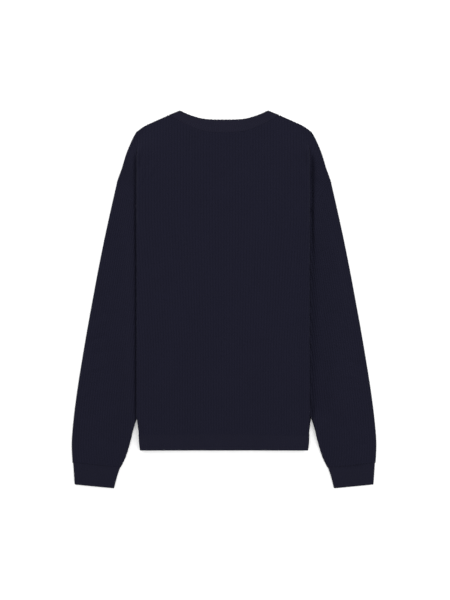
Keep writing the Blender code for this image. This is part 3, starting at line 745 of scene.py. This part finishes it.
# %% Make the back
BACK_WAVES = 0.0004               # height of the slow unevenness
places = rib_places(-BODY_RIBS, BODY_RIBS)
level = BODY_LEVELS[:, None] + 0 * places
raw = places * rib_width(level)
limit = cloth_length(level) - INSET
u = np.clip(raw, -limit, limit)
middle = back_middle(u, level)
normal = facing(back_middle(raw, level))
relief = ribbed_skin(u / rib_width(level))
on_top = np.abs(u) < fold_start(level) + TURN
laid = on_top * (creases(middle[:, :, 0], middle[:, :, 1], BACK_CREASES)
                 + gentle_waves(middle[:, :, 0], middle[:, :, 1], BACK_WAVES, 1.0))
fade = ease((fold_start(level) + FOLD_INSET - np.abs(u)) / FOLD_FADE)
points = middle + normal * (relief + laid * fade)[:, :, None]
low, high = row_ends(raw, -limit, limit)
line_rows, line_columns = border(low, high)
line = points[line_rows, line_columns]
seam_share = (ease((np.abs(line[:, 0]) - BAND_SHOULDER[0]) / CORNER_FADE + 1)
              * (BODY_LEVELS[line_rows] > NOTCH[1] - SEAM_MARGIN))
edge = carried_edge(line, -1, seam_share)
cloth = np.stack([u / rib_width(level), level / COURSE], axis=2)
back = cloth_piece("back", points, cloth, body_knit, low, high,
                   edges=[(line_rows, line_columns, edge)])

# %% [markdown]
# ## The two fronts
# They face the surface and carry the whole pile, so they are flat where they rest. Each is cut off
# along the slanting edge of the V neck, and its ribs run straight up to that cut. Their sides turn
# up and in, and out again to the front half of the sleeve cap. Their creases are pressed in, as
# troughs, since nothing can stand out into the table.


# %% The path of the front bands
def band_x(y, offset):
    """x of the line offset beside the band's middle: upright, a soft parabola, then slanted."""
    top = (np.array(NECK_POINT) + np.array(BAND_SHOULDER)) / 2
    slant = top[0] / (top[1] - V_HEIGHT)
    bend = np.clip((y - V_HEIGHT + V_BEND) / (2 * V_BEND), 0, 1)
    middle = slant * (V_BEND * bend ** 2 + np.maximum(0, y - V_HEIGHT - V_BEND))
    return middle + offset * np.sqrt(1 + (slant * bend) ** 2)


def beside_band(level, offset):
    """(x, y) of the place in a row that lies offset beside the band's middle, found in 8 steps."""
    x = offset + 0 * level
    for _ in range(8):
        x = band_x(row_height(x, level, front_top), offset)
    return x, row_height(x, level, front_top)


def band_lift(y, outer):
    """How high a front band is held by the buttons and by the other band."""
    settles, lift = (OUTER_SETTLES, OUTER_LIFT) if outer else (UNDER_SETTLES, UNDER_LIFT)
    return lift * (1 - ease((y - settles[0]) / settles[1]))


def front_middle(u, level, outer):
    """The middle of a front at the length u from the body's centre line, and at a level."""
    edge, edge_y = beside_band(level, BAND / 2 + SEAM)
    lift = band_lift(edge_y, outer)

    def lying(at):
        return LOWEST + lift * (1 - ease((at - edge) / BAND_SLOPE))

    def tucked(at):
        return LOWEST + LAYER * tuck_state(level)[0] + 0 * at

    x, z = folded_side(u, level, lying, tucked, LOWEST, -LAYER,
                       LEFT_BESIDE if outer else RIGHT_BESIDE)
    return np.stack([x, row_height(x, level, front_top), z], axis=2)


# %% Make the fronts
FRONT_LEVELS = panel_levels(90, 94)
FRONT_CREASES = (
    # x, y, direction, length, width, depth, bend
    (0.1660, 0.2780, 96, 0.034, 0.0050, 0.0015, 0.001),
    (0.1500, 0.2610, 120, 0.030, 0.0040, 0.0008, 0.001),
    (0.1180, 0.1620, 100, 0.070, 0.0080, 0.0008, 0.004),
    (0.0900, -0.0450, 84, 0.120, 0.0110, 0.0007, 0.005),
    (0.1300, -0.1830, 76, 0.060, 0.0080, 0.0008, 0.003),
    (0.0520, -0.2020, 95, 0.070, 0.0090, 0.0006, 0.002),
)


def make_front(node, side, outer, pressed):
    """One front: grid, cut at the band and at the side's end, relief, creases and carried edge."""
    places = rib_places(0, BODY_RIBS)
    level = FRONT_LEVELS[:, None] + 0 * places
    raw = places * rib_width(level)
    cut = beside_band(FRONT_LEVELS, BAND / 2 + SEAM)[0][:, None] + INSET
    u = np.clip(raw, cut, cloth_length(level) - INSET)
    middle = front_middle(u, level, outer)
    down = -facing(front_middle(raw, level, outer))
    relief = ribbed_skin(u / rib_width(level))
    marks = creases(middle[:, :, 0], middle[:, :, 1], FRONT_CREASES) * pressed
    marks = marks * ease((fold_start(level) + FOLD_INSET - u) / FOLD_FADE)
    points = middle + down * (relief - np.maximum(marks, 0))[:, :, None]
    low, high = row_ends(raw, cut, u.max(axis=1)[:, None])
    line_rows, line_columns = border(low, high)
    line = points[line_rows, line_columns]
    on_low = line_columns == low[line_rows]
    seam_share = (FRONT_LEVELS[line_rows] > NOTCH[1] - SEAM_MARGIN) & ~on_low
    edge = carried_edge(line, 1, seam_share.astype(float))
    cloth = np.stack([u / rib_width(level), level / COURSE], axis=2)
    mirror = (side, 1, 1)
    return cloth_piece(node, points * mirror, cloth, body_knit, low, high,
                       flip=side > 0, edges=[(line_rows, line_columns, edge * mirror)])


front_left = make_front("front_left", -1, True, 1.0)
front_right = make_front("front_right", 1, False, 0.8)

# %% [markdown]
# ## Sleeves
# A sleeve is a tube that lies flat: an upper and a lower wall joined by two folds. It starts in the
# armhole between the tucked layers and comes down to the surface outside the body. Its ribs run
# down from the armhole and are lost one by one in the seam under the arm, as the knitter narrows
# the sleeve, so the grid's columns end there and the two sides are welded. The arm has left soft
# creases across it near the elbow. The right one lies a little fuller than the left.

# %% Creases of the sleeves
LEFT_SLEEVE_CREASES = (
    # x, y, direction, length, width, depth, bend
    (-0.2600, -0.0800, 18, 0.050, 0.0050, -0.0014, 0.004),
    (-0.2480, -0.0480, 28, 0.045, 0.0060, 0.0009, 0.003),
    (-0.2440, 0.0080, 14, 0.050, 0.0070, -0.0008, 0.004),
    (-0.2360, -0.1030, 8, 0.055, 0.0060, -0.0009, -0.004),
    (-0.2620, -0.1380, 20, 0.060, 0.0070, 0.0010, 0.005),
    (-0.2460, -0.1690, 4, 0.060, 0.0060, -0.0008, 0.003),
    (-0.2150, 0.1260, 62, 0.060, 0.0080, -0.0007, 0.004),
    (-0.2090, 0.0600, 70, 0.060, 0.0080, 0.0007, -0.003),
    (-0.2700, -0.2330, 12, 0.050, 0.0060, -0.0008, 0.003),
    (-0.2380, -0.2790, 160, 0.045, 0.0060, -0.0007, 0.003),
    (-0.2860, -0.1920, 30, 0.040, 0.0050, 0.0008, 0.002),
    (-0.2180, -0.2250, 140, 0.050, 0.0060, 0.0007, 0.003),
)
RIGHT_SLEEVE_CREASES = (
    (0.2680, -0.1280, 158, 0.060, 0.0060, -0.0012, -0.004),
    (0.2460, -0.1500, 168, 0.055, 0.0060, 0.0009, 0.004),
    (0.2250, -0.1310, 20, 0.045, 0.0060, -0.0009, 0.003),
    (0.2540, -0.1820, 172, 0.060, 0.0065, -0.0008, 0.004),
    (0.2430, -0.0520, 150, 0.050, 0.0070, 0.0007, 0.003),
    (0.2260, 0.0420, 112, 0.070, 0.0090, -0.0006, 0.005),
    (0.2100, 0.1400, 116, 0.060, 0.0080, 0.0007, 0.003),
    (0.2760, -0.2180, 160, 0.045, 0.0055, 0.0008, 0.003),
    (0.2340, -0.2520, 20, 0.050, 0.0060, -0.0008, 0.002),
    (0.2650, -0.2860, 170, 0.050, 0.0060, -0.0007, 0.003),
)
LOWER_WALL_CREASES = (
    (0.2550, -0.0700, 160, 0.060, 0.0070, 0.0010, 0.004),
    (0.2400, -0.1350, 10, 0.060, 0.0070, 0.0010, 0.004),
    (0.2600, -0.2000, 170, 0.050, 0.0060, 0.0008, 0.004),
    (0.2200, 0.0500, 110, 0.070, 0.0090, 0.0008, 0.004),
)

# %% A flattened tube
SLEEVE_RIB = 0.0053
QUARTER = np.pi * TURN / 2        # length of cloth in a quarter turn
FULL_FOLD = 0.0006                # the outer fold is a little fuller than the pressed wall


def tube_edges(stations, rows):
    """Places of the outer and the inner edge in each row, as smooth curves through stations."""
    along = np.linspace(0, len(stations) - 1, rows)
    return np.stack([smooth_curve(list(enumerate(values)), along) for values in stations.T], axis=1)


def tube_grid(edges, places):
    """Outer and inner edge for every place of the grid, and half the tube's girth."""
    grid = edges[:, None] + np.zeros((1, len(places), 1))
    outer, inner = grid[:, :, :2], grid[:, :, 2:]
    half = np.linalg.norm(inner - outer, axis=2) - 2 * (WALL / 2 + TURN) + 2 * QUARTER
    return outer, inner, half


def tube_middle(c, outer, inner, loft, beside=None):
    """The middle of a tube's wall at the length c from its outer fold: above it for c > 0.

    Each wall is straight between its folds; a fold is a half turn. Height = surface + 2 layers
    while over the body's tuck, and the upper wall swells by loft times a sine in the open.
    """
    span = np.linalg.norm(inner - outer, axis=2, keepdims=True)
    across = (inner - outer) / span
    wall = span[:, :, 0] - 2 * (WALL / 2 + TURN)
    w = np.abs(c) - QUARTER
    turn_one = np.clip(np.abs(c) / TURN, 0, np.pi / 2)
    turn_two = np.clip((w - wall) / TURN, 0, np.pi / 2)
    far = WALL / 2 + TURN - TURN * np.cos(turn_one) + np.clip(w, 0, wall) + TURN * np.sin(turn_two)
    flat = outer + across * far[:, :, None]
    side = np.sign(c) * np.sin(turn_one) * np.cos(turn_two)
    lying = drop(flat[:, :, 0], flat[:, :, 1])
    height = LOWEST + TURN + 2 * LAYER * (1 - lying) + side * TURN
    upper = height + loft * np.sin(np.pi * np.clip(w / wall, 0, 1)) * lying
    lower = height
    if beside is not None:
        x, y = flat[:, :, 0], flat[:, :, 1]
        sunk = upper + beside_body(x, y, True, w, beside)
        upper = np.where(w > 0, np.maximum(sunk, np.minimum(upper, LOWEST + THIN_PAIR)), upper)
        lower = np.maximum(height + beside_body(x, y, False, w, beside), np.minimum(height, LOWEST))
    return np.dstack([flat, np.where(c > 0, upper, lower)])


# %% Make the sleeves
SLEEVE_ROWS, SLEEVE_RIBS = 170, 46
SLEEVE_WAVES, WALL_MARGIN = 0.0005, 0.012    # slow unevenness; creases keep off both folds
END_ROUND = ((0.0002, 0.0003), (0.0007, 0.0007), (0.0007, 0.0016))   # it runs under the cuff
ring = np.array(SLEEVE_STATIONS)
seam_way = ring[0, :2] - ring[0, 2:]
ring[0] += np.tile(np.array((seam_way[1], -seam_way[0])) / np.linalg.norm(seam_way) * SEAM, 2)
sleeve_edges = tube_edges(ring, SLEEVE_ROWS)
middles = (sleeve_edges[:, :2] + sleeve_edges[:, 2:]) / 2
sleeve_length = np.append(0, np.cumsum(np.linalg.norm(np.diff(middles, axis=0), axis=1)))
print("sleeve length, armhole to cuff:", sleeve_length[-1].round(3), "m")


def make_sleeve(node, side, marks, loft, beside):
    """One sleeve, built on the right-hand side and mirrored for the left."""
    places = rib_places(-SLEEVE_RIBS, SLEEVE_RIBS + 1)
    outer, inner, half = tube_grid(sleeve_edges, places)
    raw = (places - 0.5) * SLEEVE_RIB + np.zeros((SLEEVE_ROWS, 1))
    c = np.clip(raw, -half, half)
    middle = tube_middle(c, outer, inner, loft, beside)
    out = facing(tube_middle(raw, outer, inner, loft, beside))
    x, y = middle[:, :, 0], middle[:, :, 1]
    relief = ribbed_skin(c / SLEEVE_RIB + 0.5) + FULL_FOLD * np.exp(-(c / QUARTER) ** 2)
    upper = creases(side * x, y, marks) + gentle_waves(side * x, y, SLEEVE_WAVES, 2.0 + side)
    lower = -np.maximum(creases(x, y, LOWER_WALL_CREASES), 0)
    inside = ease((half - np.abs(c)) / WALL_MARGIN) * ease(np.abs(c) / WALL_MARGIN)
    laid = np.where(c > 0, upper * drop(x, y), lower) * inside
    points = middle + out * (relief + laid)[:, :, None]
    low, high = row_ends(raw, -half, half)
    mirror = np.array((side, 1, 1))
    edges = []
    for row, way in ((0, 1), (SLEEVE_ROWS - 1, -1)):
        columns = np.arange(low[row], high[row])[::-way]
        beyond = points[row] - points[row + way]
        beyond /= np.linalg.norm(beyond, axis=1)[:, None]
        steps = [points[row] + beyond * out_by - out[row] * down for out_by, down in END_ROUND]
        edges.append((np.full(len(columns), row), columns, np.array(steps)[:, columns] * mirror))
    cloth = np.stack([c / SLEEVE_RIB + 0.5, -sleeve_length[:, None] / COURSE + 0 * c], axis=2)
    return cloth_piece(node, points * mirror, cloth, body_knit, low, high, weld=True,
                       flip=side < 0, edges=edges)


LEFT_LOFT, RIGHT_LOFT = 0.0014, 0.0026       # how far the upper wall stands off in the middle
sleeve_left = make_sleeve("sleeve_left", -1, LEFT_SLEEVE_CREASES, LEFT_LOFT, LEFT_BESIDE)
sleeve_right = make_sleeve("sleeve_right", 1, RIGHT_SLEEVE_CREASES, RIGHT_LOFT, RIGHT_BESIDE)

# %% [markdown]
# ## Bands: hem, cuffs, neck and front edges
# The trims are narrow strips of a finer rib whose free edges show, so each has both its skins. The
# outer skin is ribbed, its rows are carried round the edge on a half circle, come back along the
# inner skin and close round the other edge, like a flattened ring carried along the strip. At the
# strip's ends the ring is closed too.

# %% A strip with both its skins
TRIM_DEPTH = 0.00042              # depth of the grooves
TRIM_HALF = WALL / 2
EDGE_ANGLES = np.radians((40, 90, 140))


def strip_ring(middle, out, ribs, start_round):
    """Rows of the ring: outer skin, half round edge, inner skin, half round edge.

    An edge row is the middle + way x reach x sin(angle) + skin x cos(angle), so that it starts on
    one skin and ends on the other.
    """
    before = middle[0] - middle[1]
    after = middle[-1] - middle[-2]
    before /= np.linalg.norm(before, axis=1)[:, None]
    after /= np.linalg.norm(after, axis=1)[:, None]
    middle = middle.copy()
    middle[0] -= before * start_round
    middle[-1] -= after * TRIM_HALF
    skin = ribbed_skin(ribs, TRIM_DEPTH)[:, :, None]
    outer, inner = middle + out * skin, middle - out * TRIM_HALF
    last = [middle[-1] + after * TRIM_HALF * np.sin(a)
            + out[-1] * np.cos(a) * (skin[-1] if np.cos(a) > 0 else TRIM_HALF) for a in EDGE_ANGLES]
    first = [middle[0] + before * start_round * np.sin(a)
             - out[0] * np.cos(a) * (TRIM_HALF if np.cos(a) > 0 else skin[0]) for a in EDGE_ANGLES]
    return np.concatenate([outer, np.array(last), inner[::-1], np.array(first)])


def make_strip(node, middle, ribs, length, flip=False, side=1, tube=False, finish=trim_knit_painted_lighter,
               start_round=TRIM_HALF):
    """A trim piece from its middle grid: ribs gives each place in ribs, length in metres along."""
    out = facing(middle) * (-1 if flip else 1)
    if tube:
        turn = middle[:, -1] - middle[:, -2] + middle[:, 1] - middle[:, 0]
        steps = np.gradient(middle[:, 0], axis=0)
        way = np.cross(turn, steps)
        out[:, 0] = out[:, -1] = way / np.linalg.norm(way, axis=1)[:, None]
    ring = strip_ring(middle, out, ribs, start_round)
    extra = len(EDGE_ANGLES)
    row = np.arange(len(middle))
    source = np.concatenate([row, np.full(extra, row[-1]), row[::-1], np.full(extra, 0)])
    cloth = np.stack([ribs, length / COURSE], axis=2)[source]
    mirror = np.array((side, 1, 1))
    edges = []
    if not tube:
        for column, order in ((ring.shape[1] - 1, slice(None, None, -1)), (0, slice(None))):
            rows = np.arange(len(ring))[order]
            core = middle[source[rows], column]
            edges.append((rows, np.full(len(rows), column), core[None] * mirror))
    return cloth_piece(node, ring * mirror, cloth, finish, weld=tube, wrap=True,
                       flip=flip != (side < 0), edges=edges)


# %% Hem bands
HEM_BACK_RIBS, HEM_FRONT_RIBS, HEM_ROWS = 75, 72, 15
HEM_LEVELS = np.linspace(HEM_BOTTOM, HEM_TOP - SEAM, HEM_ROWS)

places = rib_places(-HEM_BACK_RIBS, HEM_BACK_RIBS)
level = HEM_LEVELS[:, None] + 0 * places
middle = back_middle(cloth_length(level) * places / HEM_BACK_RIBS, level)
hem_back = make_strip("hem_back", middle, places + 0 * level, level)


def make_hem_front(node, side, outer):
    """Hem band of one front, from beside the front band round to the side seam."""
    places = rib_places(0, HEM_FRONT_RIBS)
    level = HEM_LEVELS[:, None] + 0 * places
    first = beside_band(level, BAND / 2 + SEAM)[0]
    u = first + (cloth_length(level) - first) * places / HEM_FRONT_RIBS
    middle = front_middle(u, level, outer)
    return make_strip(node, middle, places + 0 * level, level, flip=True, side=side)


hem_front_left = make_hem_front("hem_front_left", -1, True)
hem_front_right = make_hem_front("hem_front_right", 1, False)

# %% Cuffs
CUFF_RIBS, CUFF_ROWS, CUFF_LENGTH, CUFF_LOFT = 27, 20, 0.044, 0.0006
CUFF_SEAM_ROUND = 0.0003          # the sewn edge is nearly square, so that the seam stays shallow

places = rib_places(-CUFF_RIBS, CUFF_RIBS + 1)
outer, inner, half = tube_grid(tube_edges(np.array(CUFF_STATIONS), CUFF_ROWS), places)
around = half * (places - 0.5) / (CUFF_RIBS + 0.5)
cuff_middle = tube_middle(around, outer, inner, CUFF_LOFT)
cuff_length = -np.linspace(0, CUFF_LENGTH, CUFF_ROWS)[:, None] + 0 * half
for node, side in (("cuff_left", -1), ("cuff_right", 1)):
    make_strip(node, cuff_middle, places + 0 * half, cuff_length, side=side, tube=True,
               start_round=CUFF_SEAM_ROUND)

# %% Neckband
NECK_RIBS, NECK_ROWS = 28, 11
TIP_RISE, NECK_FULLER = 0.0014, 0.0005       # at the band's two ends, and all along its edge

places = rib_places(-NECK_RIBS, NECK_RIBS)
share = places / NECK_RIBS
seam_x = share * BAND_SHOULDER[0]
edge_x = share * (NECK_POINT[0] + SEAM)
rise = TIP_RISE * np.abs(share) ** 8
bumps = SCALLOP * np.abs(np.sin(np.pi * edge_x / SCALLOP_LENGTH))
seam_line = np.column_stack([seam_x, smooth_curve(NECK_SEAM, np.abs(seam_x)) + rise])
edge_y = smooth_curve(NECK_EDGE, np.abs(edge_x)) + NECK_FULLER + bumps + rise
edge_line = np.column_stack([edge_x, edge_y])
part = np.linspace(0, 1, NECK_ROWS)[:, None, None]
flat = seam_line * (1 - part) + edge_line * part
middle = np.dstack([flat, np.full(flat.shape[:2], LOWEST + LAYER)])
neckband = make_strip("neckband", middle, places + 0 * flat[:, :, 0],
                      part[:, :, 0] * BAND + 0 * places, finish=neck_knit_painted_lighter)

# %% Front bands
BAND_RIBS, BEND_START = 7, 0.09   # rows lie closer together above the start of the bend
BAND_LEVELS = np.concatenate([np.linspace(HEM_BOTTOM, BEND_START, 100)[:-1],
                              np.linspace(BEND_START, CORNER[1] - SEAM, 110)])


def make_front_band(node, side, outer):
    """Band along a front edge: its ribs run along it, up the V to the shoulder."""
    places = rib_places(0, BAND_RIBS)
    offset = (places / BAND_RIBS - 0.5) * BAND
    level = BAND_LEVELS[:, None] + 0 * places
    x, y = beside_band(level, offset[None, :])
    middle = np.stack([x, y, LOWEST + band_lift(y, outer)], axis=2).transpose(1, 0, 2)
    return make_strip(node, middle, (places + 0 * level).T, level.T, side=side)


front_band_left = make_front_band("front_band_left", -1, True)
front_band_right = make_front_band("front_band_right", 1, False)

# %% [markdown]
# ## Buttons, threads and buttonholes
# The five buttons keep the shape of their solids: turned discs with a sunk face and four holes.
# They get a satin moulded plastic with a faint cloud in it. A button is held by two short bars of
# thread, which go through its holes, and the outer band has a slit with a stitched rim above each
# button. Both are the same thing to make: an oval section that is carried along a path.

# %% Satin plastic and thread
PLY_LENGTH = 0.0009               # length of thread in which its plies go round once


def satin_plastic():
    """Navy plastic: noise clouds the colour and the gloss a little, and adds fine scratches."""
    material, tree, shader = new_finish("satin plastic")
    places = add_node(tree, "ShaderNodeTexCoord").outputs["Object"]
    cloud = noise(tree, places, 260.0, 4.0, Distortion=1.2)
    fine = noise(tree, places, 2600.0, 2.0)
    colour = blended(tree, cloud, (0.0075, 0.0075, 0.0150), (0.0150, 0.0150, 0.0265))
    tree.links.new(colour, shader.inputs["Base Color"])
    gloss = calculate(tree, "MULTIPLY_ADD", cloud, 0.16, 0.36)
    tree.links.new(gloss, shader.inputs["Roughness"])
    raised(tree, shader, fine, 0.4, 0.00003)
    set_sockets(shader, {"Coat Weight": 0.12})
    return material


def twisted_thread():
    """Sewing thread: its plies are a sine of the part of a turn round it + length / ply length."""
    material, tree, shader = new_finish("navy sewing thread")
    round_it = add_node(tree, "ShaderNodeSeparateXYZ",
                        {0: add_node(tree, "ShaderNodeUVMap", uv_map="round and along").outputs[0]})
    turns = calculate(tree, "MULTIPLY_ADD", round_it.outputs[1], 1 / PLY_LENGTH,
                      round_it.outputs[0])
    ply = calculate(tree, "SINE", calculate(tree, "MULTIPLY", turns, 2 * np.pi))
    height = calculate(tree, "MULTIPLY_ADD", ply, 0.5, 0.5)
    raised(tree, shader, height, 0.8, 0.00008)
    # painted shade: the thread's colour is darker where its plies dip, in the grooves between them
    colour = blended(tree, height, (0.0060, 0.0060, 0.0130), (0.0130, 0.0130, 0.0250))
    tree.links.new(colour, shader.inputs["Base Color"])
    set_sockets(shader, {"Roughness": 0.85, "Specular IOR Level": 0.15, "Sheen Weight": 0.05})
    return material


plastic, thread = satin_plastic(), twisted_thread()
print("finishes:", plastic.name, thread.name, sep=", ")


# %% An oval section carried along a path
def carried(path, upright, thick, wide, closed, sides=10):
    """Points of rings: path + upright x thick x cos(angle) + sideways x wide x sin(angle)."""
    way = np.roll(path, -1, 0) - np.roll(path, 1, 0) if closed else np.gradient(path, axis=0)
    sideways = np.cross(way / np.linalg.norm(way, axis=1)[:, None], upright)
    angle = np.arange(sides) * 2 * np.pi / sides
    return (path[:, None] + np.array(upright) * (thick * np.cos(angle))[None, :, None]
            + sideways[:, None] * (wide * np.sin(angle))[None, :, None])


def facing_out(shape):
    """Turns every face to the outside."""
    bmesh.ops.recalc_face_normals(shape, faces=shape.faces)


def thread_piece(name, parts, closed):
    """One mesh of carried sections; where they are open, a flat many-sided face ends them."""
    points, faces, corners, first = [], [], [], 0
    for rings in parts:
        count, sides = rings.shape[:2]
        step = np.append(0, np.cumsum(np.linalg.norm(np.diff(rings[:, 0], axis=0), axis=1)))
        step = np.append(step, step[-1] + step[1])
        ring, side = np.meshgrid(np.arange(count if closed else count - 1), np.arange(sides),
                                 indexing="ij")
        after, beside = (ring + 1) % count, (side + 1) % sides
        quads = np.stack([ring * sides + side, ring * sides + beside,
                          after * sides + beside, after * sides + side], axis=2).reshape(-1, 4)
        faces += [tuple(quad) for quad in (quads + first).tolist()]
        around = np.stack([side, side + 1, side + 1, side], axis=2) / sides
        along = step[np.stack([ring, ring, ring + 1, ring + 1], axis=2)]
        corners.append(np.stack([around, along], axis=3).reshape(-1, 2))
        if not closed:
            faces += [tuple(range(first + sides - 1, first - 1, -1)),
                      tuple(range(first + (count - 1) * sides, first + count * sides))]
            corners.append(np.zeros((2 * sides, 2)))
        points.append(rings.reshape(-1, 3))
        first += count * sides
    piece = new_piece(name, np.concatenate(points), faces, thread, "round and along",
                      np.concatenate(corners), facing_out)
    piece.data.polygons.foreach_set("use_smooth", [len(face) == 4 for face in faces])


# %% Five buttons with their threads and buttonholes
HOLE_OFFSET, THREAD = 0.0019, 0.00032        # the holes from the middle, and half a thread
BAR_CORNER, BAR_GAP = 0.0006, 0.00008        # round corners, and the gap over the table
SLIT_HALF, SLIT_ROUND, SLIT_Z = 0.0098, 0.0007, 0.00284      # half length, end radius, height
RIM_HIGH, RIM_WIDE, STITCHES, STITCH_SWELL = 0.00022, 0.00050, 34, 0.14


def bar_path(x):
    """From the band down one hole, across the sunk face and up the next: a U with round corners."""
    turn = np.radians(np.linspace(0, 90, 5))
    inward, upward = BAR_CORNER * (1 - np.cos(turn)), BAR_CORNER * (1 - np.sin(turn))
    low = THREAD + BAR_GAP
    y = np.concatenate([[-HOLE_OFFSET], inward - HOLE_OFFSET, HOLE_OFFSET - inward[::-1],
                        [HOLE_OFFSET]])
    z = np.concatenate([[OUTER_LIFT], low + upward, low + upward[::-1], [OUTER_LIFT]])
    return np.column_stack([np.full(len(y), x), y, z])


def slit_path(count=136):
    """A long narrow loop: two straight sides joined by half circles."""
    straight, bend = 2 * SLIT_HALF, np.pi * SLIT_ROUND
    length = 2 * straight + 2 * bend
    s = np.linspace(0, length, count, endpoint=False)
    angle = (np.clip(s - straight, 0, bend) / SLIT_ROUND
             + np.clip(s - 2 * straight - bend, 0, bend) / SLIT_ROUND)
    y = (np.clip(s, 0, straight) - SLIT_HALF - np.clip(s - straight - bend, 0, straight)
         + SLIT_ROUND * np.sin(angle))
    return np.column_stack([SLIT_ROUND * np.cos(angle), y, np.full(count, SLIT_Z)]), s / length


spacing = (TOP_BUTTON - BOTTOM_BUTTON) / (BUTTON_COUNT - 1)
loop, share = slit_path()
swell = 1 + STITCH_SWELL * np.cos(2 * np.pi * STITCHES * share)
for number in range(1, BUTTON_COUNT + 1):
    centre = np.array((0, TOP_BUTTON - (number - 1) * spacing, 0))
    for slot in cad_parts[f"button_{number}"].material_slots:
        slot.material = plastic
    bars = [carried(bar_path(x) + centre, (1, 0, 0), THREAD, THREAD, False)
            for x in (-HOLE_OFFSET, HOLE_OFFSET)]
    thread_piece(f"button_thread_{number}", bars, False)
    rings = carried(loop + centre, (0, 0, 1), RIM_HIGH, RIM_WIDE, True)
    rings = loop[:, None] + centre + (rings - loop[:, None] - centre) * swell[:, None, None]
    thread_piece(f"buttonhole_{number}", [rings], True)
print(BUTTON_COUNT, "buttons", round(spacing, 4), "m apart")
